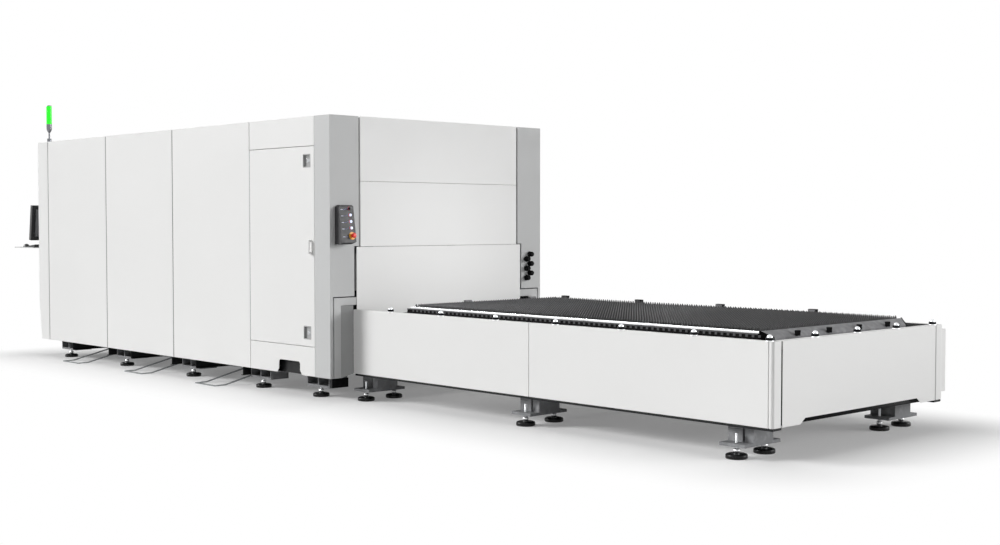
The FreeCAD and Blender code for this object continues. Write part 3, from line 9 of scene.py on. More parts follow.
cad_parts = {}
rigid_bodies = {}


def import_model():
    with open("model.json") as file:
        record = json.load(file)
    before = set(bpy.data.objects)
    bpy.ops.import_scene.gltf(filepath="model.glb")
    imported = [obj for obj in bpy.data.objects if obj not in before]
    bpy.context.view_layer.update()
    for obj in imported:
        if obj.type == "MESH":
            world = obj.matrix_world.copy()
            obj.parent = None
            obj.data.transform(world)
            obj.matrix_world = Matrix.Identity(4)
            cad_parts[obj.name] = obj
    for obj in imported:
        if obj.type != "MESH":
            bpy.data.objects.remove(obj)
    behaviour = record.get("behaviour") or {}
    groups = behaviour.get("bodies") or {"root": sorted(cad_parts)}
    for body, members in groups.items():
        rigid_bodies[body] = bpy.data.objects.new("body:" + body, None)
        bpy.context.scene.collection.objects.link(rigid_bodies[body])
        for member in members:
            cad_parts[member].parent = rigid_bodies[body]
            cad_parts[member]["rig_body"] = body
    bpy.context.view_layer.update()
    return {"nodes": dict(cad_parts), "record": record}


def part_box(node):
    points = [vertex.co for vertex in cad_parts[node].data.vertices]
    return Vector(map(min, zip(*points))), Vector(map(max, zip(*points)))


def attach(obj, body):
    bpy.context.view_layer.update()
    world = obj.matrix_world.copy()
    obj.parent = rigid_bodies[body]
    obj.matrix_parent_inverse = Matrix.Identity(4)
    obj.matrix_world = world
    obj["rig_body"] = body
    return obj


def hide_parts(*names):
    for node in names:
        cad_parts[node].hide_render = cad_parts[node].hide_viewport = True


bl_info = {
    "name": "Sheet laser cutter finishes",
    "version": (1, 0, 0),
    "blender": (4, 5, 0),
    "location": "3D View > Sidebar > Laser cutter",
    "description": "Finishes and small parts of an enclosed sheet laser cutter with an exchange table",
    "category": "Object",
}

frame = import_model()
NODES = frame["nodes"]

MM = 0.001
DATUM = Vector((0.8885, 0.0795, 0.0))    # the machine's exchange face on its centre line, on the floor
WELD = 1e-5                              # vertices nearer than this are one
FLAT = math.radians(0.5)                 # faces that meet at less than this are one


# ------------------------------------------------------------------------------------------------
# Colours and sizes that a user would change
# ------------------------------------------------------------------------------------------------
def linear(hexed):
    """An sRGB colour written #RRGGBB, as linear light."""
    values = [int(hexed[i:i + 2], 16) / 255 for i in (1, 3, 5)]
    return tuple(v / 12.92 if v <= 0.04045 else ((v + 0.055) / 1.055) ** 2.4 for v in values)


def colour(name, text, hexed):
    return FloatVectorProperty(name=name, description=text, default=linear(hexed), subtype="COLOR",
                               size=3, min=0.0, max=1.0)


def length(name, text, default):
    return FloatProperty(name=name, description=text, default=default, min=0.0, unit="LENGTH", precision=4)


class CutterColours(bpy.types.PropertyGroup):
    """Colours of the paints, plastics and lamps"""
    white: colour("Panel white", "Powder coat of the cell's and the table's panels", "#EBEBEA")
    # painted light: a whiter copy of the panel white for the exchange end's panels and lifting door, which
    # the lamps light less than the sides
    end: colour("End white", "Powder coat of the exchange end's panels and lifting door", "#F9F9F8")
    grey: colour("Column grey", "Powder coat of the corner columns", "#C5C6C6")
    # painted shade: a darker copy of the covers' grey for the link covers' chamfers, which lie in the
    # column's shade
    cover: colour("Cover grey", "Powder coat of the link covers' chamfers", "#9C9D9D")
    black: colour("Structure black", "Coarse powder coat of small blocks and trims", "#161718")
    frame: colour("Frame grey", "Machine enamel of the frames and the bed", "#4A4D50")
    pallet: colour("Pallet grey", "Machine enamel of the pallets", "#8A8A8C")
    bracket: colour("Bracket grey", "Machine enamel of the foot brackets", "#828385")
    blade: colour("Slat steel", "Hot rolled strip of the slats", "#3C3C3D")
    plastic: colour("Box grey", "Moulded case of the control box", "#343436")
    cup: colour("Cup grey", "Moulded cups of the latches", "#A9AAAA")
    lens: colour("Signal green", "Lit lens of the signal light", "#1FE81F")
    stop: colour("Stop red", "Mushroom of the stop button", "#F23A2E")
    collar: colour("Stop yellow", "Disc under the stop button", "#FBB53A")
    lamp: colour("Button light", "Lit caps of the push buttons", "#DDE6FF")
    floor: colour("Floor", "Paint of the studio floor", "#FDFDFD")


class CutterSizes(bpy.types.PropertyGroup):
    """Edges, pitches and other sizes that the CAD shapes leave to this file"""
    panel_edge: length("Panel edge", "Outside radius where a sheet panel is folded", 3 * MM)
    frame_edge: length("Frame edge", "Corner radius of the tubes", 4 * MM)
    small_edge: length("Small edge", "Broken edge of plates and blocks", 1.2 * MM)
    tooth_pitch: length("Tooth pitch", "Distance between the teeth of a slat", 26 * MM)
    tooth_depth: length("Tooth depth", "Depth of a slat's teeth", 20 * MM)
    slat_pitch: length("Slat pitch", "Distance between slats", 45 * MM)
    thread_pitch: length("Thread pitch", "Pitch of the levelling studs", 2.5 * MM)
    key_pitch: length("Key pitch", "Distance between keys", 21 * MM)
    slot_width: length("Slot width", "Width of the openings along a pallet's side", 28 * MM)
    turned_sides: IntProperty(name="Turned sides", description="Sides of a turned part", default=32,
                              min=8, max=96)


# ------------------------------------------------------------------------------------------------
# Node trees
# ------------------------------------------------------------------------------------------------
def add_node(tree, kind, inputs=None, **settings):
    """Adds one node; inputs maps its sockets to values or to other nodes' outputs."""
    node = tree.nodes.new(kind)
    for key, value in settings.items():
        setattr(node, key, value)
    for key, value in (inputs or {}).items():
        if isinstance(value, bpy.types.NodeSocket):
            tree.links.new(value, node.inputs[key])
        else:
            node.inputs[key].default_value = value
    return node


def new_tree(name, inputs):
    tree = bpy.data.node_groups.new(name, "GeometryNodeTree")
    for label, kind in inputs:
        tree.interface.new_socket(label, in_out="INPUT", socket_type="NodeSocket" + kind)
    tree.interface.new_socket("Made", in_out="OUTPUT", socket_type="NodeSocketGeometry")
    return tree, add_node(tree, "NodeGroupInput").outputs


def end_tree(tree, instances, finish):
    """Every tree ends alike: instances made real, then painted."""
    real = add_node(tree, "GeometryNodeRealizeInstances", {"Geometry": instances})
    painted = add_node(tree, "GeometryNodeSetMaterial", {"Geometry": real.outputs[0], "Material": finish})
    add_node(tree, "NodeGroupOutput", {"Made": painted.outputs[0]})
    return tree


def row_tree():
    """Members in a straight row: count, first place and step."""
    tree, given = new_tree("members_in_a_row", [
        ("Count", "Int"), ("Start", "Vector"), ("Step", "Vector"), ("Member", "Object"),
        ("Finish", "Material")])
    line = add_node(tree, "GeometryNodeMeshLine", {
        "Count": given["Count"], "Start Location": given["Start"], "Offset": given["Step"]}, mode="OFFSET")
    member = add_node(tree, "GeometryNodeObjectInfo", {"Object": given["Member"], "As Instance": True})
    spread = add_node(tree, "GeometryNodeInstanceOnPoints", {
        "Points": line.outputs["Mesh"], "Instance": member.outputs["Geometry"]})
    return end_tree(tree, spread.outputs["Instances"], given["Finish"])


def spot_tree():
    """Members on the given points, each turned by the point's own turn."""
    tree, given = new_tree("members_on_points", [
        ("Points", "Geometry"), ("Member", "Object"), ("Finish", "Material")])
    member = add_node(tree, "GeometryNodeObjectInfo", {"Object": given["Member"], "As Instance": True})
    turn = add_node(tree, "GeometryNodeInputNamedAttribute", {"Name": "turn"}, data_type="FLOAT_VECTOR")
    spread = add_node(tree, "GeometryNodeInstanceOnPoints", {
        "Points": given["Points"], "Instance": member.outputs["Geometry"],
        "Rotation": turn.outputs["Attribute"]})
    return end_tree(tree, spread.outputs["Instances"], given["Finish"])


def grown(name, tree, start, **values):
    """Runs a tree on a start mesh and keeps the plain mesh that it makes."""
    obj = linked(name, start)
    rule = obj.modifiers.new("rule", "NODES")
    rule.node_group = tree
    for item in tree.interface.items_tree:
        if item.in_out == "INPUT" and item.name in values:
            rule[item.identifier] = values[item.name]
    obj.data = evaluated(obj)
    obj.modifiers.clear()
    return obj


def evaluated(obj):
    graph = bpy.context.evaluated_depsgraph_get()
    graph.update()
    return bpy.data.meshes.new_from_object(obj.evaluated_get(graph), depsgraph=graph)


def linked(name, mesh):
    obj = bpy.data.objects.new(name, mesh)
    bpy.context.scene.collection.objects.link(obj)
    return obj


def in_a_row(name, member, count, start, step, slot):
    """A row of copies of a member, as one plain mesh."""
    obj = grown(name, bpy.data.node_groups["members_in_a_row"], bpy.data.meshes.new(name + "_start"),
                Count=count, Start=list(start), Step=list(step), Member=member, Finish=MATERIALS[slot])
    bpy.data.objects.remove(member)
    return obj


def on_spots(name, member, spots, slot, turns=None):
    """A copy of a member on each spot, as one plain mesh."""
    points = bpy.data.meshes.new(name + "_points")
    points.from_pydata([tuple(s) for s in spots], [], [])
    turn = points.attributes.new("turn", "FLOAT_VECTOR", "POINT")
    for number, value in enumerate(turns or [(0.0, 0.0, 0.0)] * len(spots)):
        turn.data[number].vector = value
    obj = grown(name, bpy.data.node_groups["members_on_points"], points,
                Member=member, Finish=MATERIALS[slot])
    bpy.data.objects.remove(member)
    return obj


# ------------------------------------------------------------------------------------------------
# Shapes
# ------------------------------------------------------------------------------------------------
def merged(node):
    """A CAD node's shape with its loose triangles joined and its flat faces whole again."""
    bm = bmesh.new()
    bm.from_mesh(NODES[node].data)
    bmesh.ops.remove_doubles(bm, verts=bm.verts, dist=WELD)
    bmesh.ops.dissolve_limit(bm, angle_limit=FLAT, verts=bm.verts, edges=bm.edges)
    return bm


def islands(node):
    """The separate solids of a CAD node as (lowest, highest) corners, in order along X, Y and Z."""
    bm = merged(node)
    left, found = set(bm.verts), []
    for seed in list(bm.verts):
        if seed not in left:
            continue
        left.remove(seed)
        queue, corners = [seed], []
        while queue:
            vert = queue.pop()
            corners.append(vert.co.copy())
            for edge in vert.link_edges:
                other = edge.other_vert(vert)
                if other in left:
                    left.remove(other)
                    queue.append(other)
        found.append((Vector([min(c) for c in zip(*corners)]), Vector([max(c) for c in zip(*corners)])))
    bm.free()
    return sorted(found, key=lambda pair: tuple(round(v, 4) for v in pair[0]))


def middle(pair):
    return (pair[0] + pair[1]) / 2


def foot_of(pair):
    """The middle of a solid's underside."""
    centre = middle(pair)
    return Vector((centre.x, centre.y, pair[0].z))


def width_of(face):
    """Roughly how wide a face is: small for the rim of a folded sheet."""
    return 2 * face.calc_area() / max(face.calc_perimeter(), 1e-9)


def ease(bm, width, segments=2):
    """Rounds the outer edges between faces that are wide enough to take it."""
    picked = [e for e in bm.edges
              if e.is_manifold and e.is_convex and e.calc_face_angle() > math.radians(20)
              and e.calc_length() > 2.5 * width and all(width_of(f) > 2 * width for f in e.link_faces)]
    bmesh.ops.bevel(bm, geom=picked, offset=width, segments=segments, profile=0.5, affect="EDGES",
                    clamp_overlap=True)


def to_object(name, bm, smooth=35.0):
    """Makes an object from a shape: smooth over small angles, crisp over large ones."""
    mesh = bpy.data.meshes.new(name)
    bm.to_mesh(mesh)
    bm.free()
    mesh.shade_smooth()
    mesh.set_sharp_from_angle(angle=math.radians(smooth))
    obj = linked(name, mesh)
    weigh = obj.modifiers.new("weigh", "WEIGHTED_NORMAL")
    weigh.keep_sharp = True
    weigh.weight = 100
    obj.data = evaluated(obj)
    obj.modifiers.clear()
    return obj


def in_metres(profile):
    """A profile that is written in millimetres."""
    return [(x * MM, y * MM) for x, y in profile]


def turned(profile, sides, place=None, bm=None):
    """A turned shape from (radius, height) pairs, lowest first; it starts and ends on the axis."""
    bm = bm or bmesh.new()
    place = place or Matrix()
    rings = []
    for radius, height in profile:
        count = sides if radius > 1e-6 else 1
        rings.append([bm.verts.new(place @ Vector((radius * math.cos(math.tau * k / count),
                                                   radius * math.sin(math.tau * k / count), height)))
                      for k in range(count)])
    for low, high in zip(rings, rings[1:]):
        for k in range(sides):
            corners = [low[k % len(low)], low[(k + 1) % len(low)],
                       high[(k + 1) % len(high)], high[k % len(high)]]
            unique = list(dict.fromkeys(corners))
            if len(unique) > 2:
                bm.faces.new(unique)
    return bm


def ringed(profile, sides, place, bm):
    """A closed ring from a loop of (radius, height) pairs that runs up outside and down inside."""
    return turned(profile + profile[:1], sides, place, bm)


def blocks(boxes, ease_by=0.0, bm=None, place=None):
    """Square blocks given by their lowest and highest corners, with broken edges."""
    bm = bm or bmesh.new()
    place = place or Matrix()
    edges = []
    for low, high in boxes:
        low, high = Vector(low), Vector(high)
        made = bmesh.ops.create_cube(bm, size=1.0, matrix=place @ Matrix.Translation((low + high) / 2)
                                     @ Matrix.Diagonal((*(high - low), 1.0)))
        edges += {e for v in made["verts"] for e in v.link_edges}
    if ease_by:
        bmesh.ops.bevel(bm, geom=edges, offset=ease_by, segments=2, profile=0.5, affect="EDGES",
                        clamp_overlap=True)
    return bm


def small_blocks(boxes, ease_by=0.0, bm=None, place=None):
    """Blocks on a place's own axes, with every size in millimetres."""
    return blocks([(Vector(low) * MM, Vector(high) * MM) for low, high in boxes], ease_by * MM, bm, place)


def prism(outline, depth, place):
    """An outline in X and Y (counter-clockwise), made solid along Z."""
    bm = bmesh.new()
    low = [bm.verts.new(place @ Vector((x, y, 0.0))) for x, y in outline]
    high = [bm.verts.new(place @ Vector((x, y, depth))) for x, y in outline]
    bm.faces.new(low[::-1])
    bm.faces.new(high)
    for k in range(len(outline)):
        n = (k + 1) % len(outline)
        bm.faces.new((low[k], low[n], high[n], high[k]))
    return bm


def thread(radius, pitch, low, high, sides, bm):
    """A screw thread: rings whose height climbs one pitch in a turn, flat at both ends."""
    start = len(bm.verts)
    profile = [(0.0, low)]
    turns = int((high - low) / pitch) + 2
    for k in range(-1, turns):
        profile += [(radius, low + k * pitch), (radius - 0.6 * pitch, low + (k + 0.5) * pitch)]
    profile.append((0.0, high))
    turned(profile, sides, None, bm)
    bm.verts.ensure_lookup_table()
    for vert in bm.verts[start:]:
        climb = math.atan2(vert.co.y, vert.co.x) % math.tau / math.tau * pitch
        if vert.co.xy.length > 1e-6:
            vert.co.z = min(max(vert.co.z + climb, low), high)


def hexagonal(across, low, high):
    """A hexagon nut's body with its corners turned off."""
    corner = across / math.sqrt(3)
    chamfer = 0.12 * corner
    return [(0.0, low), (corner - chamfer, low), (corner, low + chamfer), (corner, high - chamfer),
            (corner - chamfer, high), (0.0, high)]


def piece(obj, body, slot, replaced=()):
    """Paints a piece, ties it to its body and hides the CAD nodes that it stands for."""
    obj.data.materials.clear()
    obj.data.materials.append(MATERIALS[slot])
    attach(obj, body)
    if replaced:
        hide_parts(*replaced)
    return obj


def shaped(name, bm, body, slot, replaced=(), smooth=35.0):
    """A piece straight from its shape."""
    return piece(to_object(name, bm, smooth), body, slot, replaced)


def body_of(node):
    return NODES[node]["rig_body"]


def at(x, y, z):
    """A place given in millimetres from the machine's datum."""
    return DATUM + Vector((x, y, z)) * MM


def slab(low, high):
    """The two corners of a block given in millimetres from the datum."""
    return at(*low), at(*high)


def side_slab(side, along, across, height):
    """A block on one side of the centre line (-1 near, 1 far); its three ranges in millimetres."""
    near, far = sorted((side * across[0], side * across[1]))
    return slab((along[0], near, height[0]), (along[1], far, height[1]))


def eased_node(node, width, slot, segments=2, change=None):
    """A CAD node's own shape with rounded edges, which stands for it."""
    bm = merged(node)
    if change:
        change(bm)
    ease(bm, width, segments)
    return shaped(node + "_finished", bm, body_of(node), slot, [node])


# ------------------------------------------------------------------------------------------------
# Finishes
# ------------------------------------------------------------------------------------------------
MATERIALS = {}
# The record's slot of every CAD node
NODE_SLOTS = {part["node"]: part["material_slot"] for part in frame["record"]["subparts"]}
BULK = (0.3, 0.7)                        # the range that holds nearly all of a noise's values
PALE_TO, DARKER_FROM = 1.4, 3.6           # along X, in metres: the slats turn from paler to darker between these


def shader(name, base, roughness, metallic=0.0, **fixed):
    """A material whose constants stand on the shader's own sockets."""
    made = bpy.data.materials.new(name)
    made.use_nodes = True
    tree = made.node_tree
    tree.nodes.clear()
    surface = add_node(tree, "ShaderNodeBsdfPrincipled", {
        "Base Color": (*base, 1.0), "Roughness": roughness, "Metallic": metallic, **fixed})
    add_node(tree, "ShaderNodeOutputMaterial", {"Surface": surface.outputs[0]})
    place = add_node(tree, "ShaderNodeTexCoord").outputs["Object"]
    return made, tree, surface, place


def grain(tree, place, size, detail=2.0, stretch=None):
    """Noise whose lumps are about size metres across, stretched along an axis if asked."""
    if stretch:
        place = add_node(tree, "ShaderNodeMapping", {"Vector": place, "Scale": stretch}).outputs[0]
    return add_node(tree, "ShaderNodeTexNoise", {
        "Vector": place, "Scale": 1.0 / size, "Detail": detail}).outputs["Fac"]


def shade(base, factor):
    return tuple(min(1.0, v * factor) for v in base)


def dress(tree, surface, tone=None, gloss=None, relief=None):
    """Ties patterns to a shader.

    tone is a pattern and the two colours that it drifts between, and gloss a pattern and the least
    and greatest roughness; both may end with the range of the pattern that counts. relief is a
    height with its depth in metres and its strength.
    """
    if tone:
        pattern, one, other, *span = tone
        if span:
            pattern = add_node(tree, "ShaderNodeMapRange", {
                "Value": pattern, "From Min": span[0], "From Max": span[1]}).outputs[0]
        mixed = add_node(tree, "ShaderNodeMix", {0: pattern, 6: (*one, 1.0), 7: (*other, 1.0)},
                         data_type="RGBA")
        tree.links.new(mixed.outputs[2], surface.inputs["Base Color"])
    if gloss:
        pattern, least, greatest, *span = gloss
        start, end = span or (0.0, 1.0)
        ranged = add_node(tree, "ShaderNodeMapRange", {
            "Value": pattern, "From Min": start, "From Max": end, "To Min": least, "To Max": greatest})
        tree.links.new(ranged.outputs[0], surface.inputs["Roughness"])
    if relief:
        height, depth, strength = relief
        bump = add_node(tree, "ShaderNodeBump", {"Height": height, "Distance": depth, "Strength": strength})
        tree.links.new(bump.outputs[0], surface.inputs["Normal"])


def powder_coat(name, base, roughness=0.42):
    """Polyester powder coat on sheet steel: even colour, half gloss, fine orange peel from the oven."""
    made, tree, surface, place = shader(name, base, roughness)
    # the peel of 1.5 mm is drawn at 4 mm, the smallest that still shows
    dress(tree, surface,
          tone=(grain(tree, place, 0.9, 1.0), base, shade(base, 0.985), *BULK),
          gloss=(grain(tree, place, 120 * MM), roughness - 0.04, roughness + 0.05, *BULK),
          relief=(grain(tree, place, 4 * MM, 1.0), 0.03 * MM, 0.5))
    return made


def coarse_coat(name, base, roughness=0.5):
    """Structured powder coat or machine enamel: matt, sandy, with rubbed, paler high spots."""
    made, tree, surface, place = shader(name, base, roughness, **{"Specular IOR Level": 0.2})
    dress(tree, surface,
          tone=(grain(tree, place, 60 * MM, 4.0), base, shade(base, 1.5), 0.5, 0.75),
          gloss=(grain(tree, place, 50 * MM), roughness - 0.1, roughness + 0.1, *BULK),
          relief=(grain(tree, place, 2.5 * MM), 0.15 * MM, 0.6))
    return made


def zinc_coat(name):
    """Hot-dip zinc on sheet steel: flat crystals, each with its own grey and gloss."""
    base = linear("#A9ADAF")
    made, tree, surface, place = shader(name, base, 0.42, 0.85)
    cells = add_node(tree, "ShaderNodeTexVoronoi", {"Vector": place, "Scale": 1 / (18 * MM)})
    crystal = add_node(tree, "ShaderNodeSeparateColor", {0: cells.outputs["Color"]}).outputs[0]
    dress(tree, surface, tone=(crystal, base, shade(base, 0.8)), gloss=(crystal, 0.34, 0.5))
    return made


def rolled_steel(name, base):
    """Hot rolled strip: mottled mill scale, paler towards the cell and darker at the far end, with a
    painted highlight on the teeth's tips and painted shade below them.
    """
    made, tree, surface, place = shader(name, base, 0.55, 0.55)
    where = add_node(tree, "ShaderNodeSeparateXYZ", {0: place}).outputs
    scale = add_node(tree, "ShaderNodeMapRange", {
        "Value": grain(tree, place, 35 * MM, 4.0), "From Min": BULK[0], "From Max": BULK[1]}).outputs[0]
    patchy = add_node(tree, "ShaderNodeMix", {
        0: scale, 6: (*shade(base, 0.3), 1.0), 7: (*shade(base, 0.6), 1.0)}, data_type="RGBA")
    paler_near_cell = add_node(tree, "ShaderNodeMapRange", {
        "Value": where["X"], "From Min": PALE_TO, "From Max": DARKER_FROM, "To Min": 1.0, "To Max": 0.0})
    strip = add_node(tree, "ShaderNodeMix", {
        0: paler_near_cell.outputs[0], 6: patchy.outputs[2], 7: (*shade(base, 1.5), 1.0)}, data_type="RGBA")
    # heights are counted in steps from one pallet to the other, so that both have their tips at one
    # level; the count starts anew 11 mm above the tips
    lower_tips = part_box("lower_pallet_slats")[1].z
    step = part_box("upper_pallet_slats")[1].z - lower_tips
    tips = step - 11 * MM
    raised = add_node(tree, "ShaderNodeMath", {0: where["Z"], 1: tips - lower_tips}, operation="ADD")
    level = add_node(tree, "ShaderNodeMath", {0: raised.outputs[0], 1: step}, operation="MODULO")
    # painted highlight and shade: the colour is raised to twice at the teeth's tips and lowered to 0.65
    # from 8 mm below them, for the light on the tips and the shade between the teeth
    bright = add_node(tree, "ShaderNodeMapRange", {
        "Value": level.outputs[0], "From Min": tips - 8 * MM, "From Max": tips - 0.2 * MM,
        "To Min": 0.65, "To Max": 2.0})
    toothed = add_node(tree, "ShaderNodeMix", {0: 1.0, 6: strip.outputs[2], 7: bright.outputs[0]},
                       data_type="RGBA", blend_type="MULTIPLY")
    tree.links.new(toothed.outputs[2], surface.inputs["Base Color"])
    dress(tree, surface, gloss=(scale, 0.42, 0.68), relief=(grain(tree, place, 3 * MM, 3.0), 0.2 * MM, 0.5))
    return made


def ground_steel(name):
    """Ground guideways: bright steel with fine marks along the way and an oily film."""
    base = linear("#B9BCBE")
    made, tree, surface, place = shader(name, base, 0.28, 1.0)
    # grinding marks of a few hundredths are drawn at 1.5 mm
    marks = grain(tree, place, 1.5 * MM, 3.0, (0.02, 1.0, 1.0))
    dress(tree, surface, tone=(marks, shade(base, 0.85), base), gloss=(marks, 0.2, 0.38, *BULK),
          relief=(marks, 0.02 * MM, 0.4))
    return made


def chrome(name, hexed="#E6E8EA", haze=0.06):
    """Polished chrome, bright zinc plate or black oxide on steel: mirror bright to softly hazed."""
    made, tree, surface, place = shader(name, linear(hexed), haze, 1.0)
    dress(tree, surface, gloss=(grain(tree, place, 8 * MM, 3.0), haze, haze + 0.14, *BULK))
    return made


def bright_strip(name):
    """Polished stainless edge strip: almost a mirror, lightly brushed along its length."""
    made, tree, surface, place = shader(name, linear("#FAFBFC"), 0.3, 0.9)
    dress(tree, surface, gloss=(grain(tree, place, 3 * MM, 2.0, (0.03, 1.0, 1.0)), 0.24, 0.36, *BULK))
    return made


def rubber(name):
    """Moulded nitrile rubber of the machine feet: near black, soft gloss, dusty towards the floor."""
    base = linear("#08090A")
    made, tree, surface, place = shader(name, base, 0.3, **{"Specular IOR Level": 0.25})
    height = add_node(tree, "ShaderNodeSeparateXYZ", {0: place}).outputs["Z"]
    dust = add_node(tree, "ShaderNodeMapRange", {
        "Value": height, "From Min": 0.0, "From Max": 10 * MM, "To Min": 0.3, "To Max": 0.0})
    speck = add_node(tree, "ShaderNodeMath", {0: dust.outputs[0], 1: grain(tree, place, 6 * MM, 4.0)},
                     operation="MULTIPLY")
    dress(tree, surface, tone=(speck.outputs[0], base, linear("#6E6C68")),
          gloss=(grain(tree, place, 12 * MM), 0.22, 0.4, *BULK))
    return made


def moulded(name, base, roughness, grit=1.6 * MM, gloss=0.5):
    """Moulded ABS or nylon, print, smooth enamel, and with a coarse grit screen glass: even colour."""
    made, tree, surface, place = shader(name, base, roughness, **{"Specular IOR Level": gloss})
    fine = grain(tree, place, grit)
    dress(tree, surface, tone=(fine, base, shade(base, 1.12), *BULK),
          gloss=(grain(tree, place, 30 * MM), roughness - 0.05, roughness + 0.06, *BULK),
          relief=(fine, 0.06 * MM, 0.5))
    return made


def lit(name, base, strength):
    """A clear polycarbonate lens with a lamp behind it: an even glow, ribbed by the moulding."""
    made, tree, surface, place = shader(name, base, 0.25, **{"Emission Strength": strength})
    ribs = add_node(tree, "ShaderNodeTexWave", {"Vector": place, "Scale": 1 / (24 * MM)},
                    bands_direction="Z")
    dimmed = add_node(tree, "ShaderNodeMapRange", {"Value": ribs.outputs["Fac"], "To Max": 0.35})
    glow = add_node(tree, "ShaderNodeMix", {
        0: dimmed.outputs[0], 6: (*base, 1.0), 7: (*shade(base, 0.75), 1.0)}, data_type="RGBA")
    tree.links.new(glow.outputs[2], surface.inputs["Emission Color"])
    return made


def tinted_glass(name):
    """Laser safety acrylic: deep amber-green, glossy, see-through."""
    made, tree, surface, place = shader(name, linear("#5C7A4A"), 0.06, **{"Transmission Weight": 0.8})
    dress(tree, surface, gloss=(grain(tree, place, 150 * MM), 0.04, 0.1, *BULK))
    return made


class CUTTER_OT_finishes(bpy.types.Operator):
    """Make every finish, and paint the CAD nodes with those of their slots"""
    bl_idname = "cutter.finishes"
    bl_label = "Finishes"

    def execute(self, context):
        tone = context.scene.cutter_colours
        MATERIALS.update({
            "white_enamel": powder_coat("white_powder_coat", tone.white),
            # painted light: a whiter copy of the panel white on the exchange end
            "end_painted_light_white": powder_coat("whiter_coat_painted_light", tone.end),
            "grey_enamel": powder_coat("grey_powder_coat", tone.grey, 0.45),
            # painted shade on the link covers' chamfers
            "link_chamfer_shade_grey": powder_coat("link_chamfer_painted_shade", tone.cover),
            "black_enamel": coarse_coat("black_structured_coat", tone.black),
            "frame_grey": coarse_coat("frame_machine_enamel", tone.frame, 0.42),
            "pallet_grey": coarse_coat("pallet_machine_enamel", tone.pallet),
            "bracket_grey": coarse_coat("bracket_machine_enamel", tone.bracket, 0.45),
            "galvanised": zinc_coat("hot_dip_zinc"),
            "slat_steel": rolled_steel("hot_rolled_with_painted_tips", tone.blade),
            "ground_steel": ground_steel("ground_guideway_steel"),
            "bright_strip": bright_strip("polished_edge_strip"),
            "chrome_steel": chrome("polished_chrome"),
            "stand_chrome": chrome("stand_chrome", "#7E8084", 0.1),
            "stud_zinc": chrome("bright_zinc_plate", "#F6F7F8", 0.32),
            "cup_black": chrome("black_oxide_steel", "#1B1C1E", 0.25),
            "foot_rubber": rubber("nitrile_rubber"),
            "control_plastic": moulded("grained_abs", tone.plastic, 0.5),
            "black_plastic": moulded("black_nylon", linear("#17181A"), 0.38),
            "grey_plastic": moulded("light_grey_abs", linear("#B9BBBD"), 0.4),
            "back_plastic": moulded("dark_grey_abs", linear("#6E6F71"), 0.4),
            "cup_plastic": moulded("grey_nylon_cup", tone.cup, 0.35),
            "red_plastic": moulded("red_polyamide", tone.stop, 0.3),
            "collar_plastic": moulded("yellow_polyamide", tone.collar, 0.35),
            # also painted shade: the sheets in the open tube ends and behind the pallets' side openings
            # take this near black
            "deep_black_and_shade": moulded("deep_black_and_painted_shade", linear("#0A0A0B"), 0.6, gloss=0.08),
            "slot_grey": moulded("pallet_rail_enamel", linear("#59595B"), 0.5, gloss=0.2),
            "screen_glass": moulded("screen_glass", linear("#0B0C0E"), 0.12, 30 * MM),
            "legend": moulded("printed_legend", linear("#BFC4D6"), 0.4),
            "red_mark": moulded("red_print", linear("#C2324A"), 0.4),
            "blue_print": moulded("blue_print", linear("#6A70C8"), 0.4),
            "white_button": lit("lit_button_lens", tone.lamp, 0.75),
            "green_lens": lit("lit_signal_lens", tone.lens, 0.8),
            "window_glass": tinted_glass("laser_safety_acrylic"),
        })
        for node, slot in NODE_SLOTS.items():
            for held in NODES[node].material_slots:
                held.material = MATERIALS[slot]
            if not NODES[node].material_slots:
                NODES[node].data.materials.append(MATERIALS[slot])
        return {"FINISHED"}


# ------------------------------------------------------------------------------------------------
# Sheet metal, frames and plates: the CAD shapes with rounded edges
# ------------------------------------------------------------------------------------------------
PANELS = ["near_panels", "far_panels", "cheek_panels", "operator_end_panels", "end_panels", "door_header",
          "door_plinth", "access_door", "lift_door", "roof_panels", "table_side_panels", "table_end_panel",
          "table_corner_covers", "drive_cover", "corner_columns", "operator_door", "laser_cabinet"]
FRAMES = ["base_frame", "wall_frame", "table_frame", "machine_bed", "gantry_beam", "gantry_carriage",
          "upper_pallet_frame", "lower_pallet_frame"]
PLATES = ["foot_brackets", "lift_door_guides", "pallet_tracks", "gantry_rails", "side_strips",
          "scrap_drawer_1", "scrap_drawer_2", "scrap_drawer_3", "console_arm", "console_tray",
          "door_pull", "latch_cups", "operator_window"]
# Nodes whose finish is not that of their slot
OWN_FINISH = {"end_panels": "end_painted_light_white", "lift_door": "end_painted_light_white", "upper_pallet_frame": "pallet_grey",
              "lower_pallet_frame": "pallet_grey", "latch_cups": "cup_plastic",
              "foot_brackets": "bracket_grey", "side_strips": "bright_strip"}
# Places in millimetres from the datum: along the machine, across from its centre line, and up
# a thin near-black sheet at each open end of the base frame's tubes is painted shade inside the tubes
TUBE_MOUTH_SHADE = ((-45.4, -44.6), (936, 1093), (90, 163))
# dark strips a few millimetres inside the near side's panel seams are painted shade in the gaps
PANEL_JOINTS, SEAM_SHADE_HALF, SEAM_SHADE_Y, SEAM_SHADE_Z = (-2356, -3603, -4850), 6.5, (1135, 1138.6), (172, 2195)
MITRE_FROM, MITRE_TO = 780 * MM, 738 * MM    # corners farther out than the first are drawn in to the second


def finish_of(node):
    return OWN_FINISH.get(node, NODE_SLOTS[node])


def raised_foot(bm):
    """Cuts the link covers' lower edge so that it climbs from the column's foot to the table's."""
    low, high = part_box("link_covers")
    table_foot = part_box("table_side_panels")[0].z
    for vert in bm.verts:
        if vert.co.z < low.z + 1 * MM and vert.co.x > high.x - 5 * MM:
            vert.co.z = table_foot


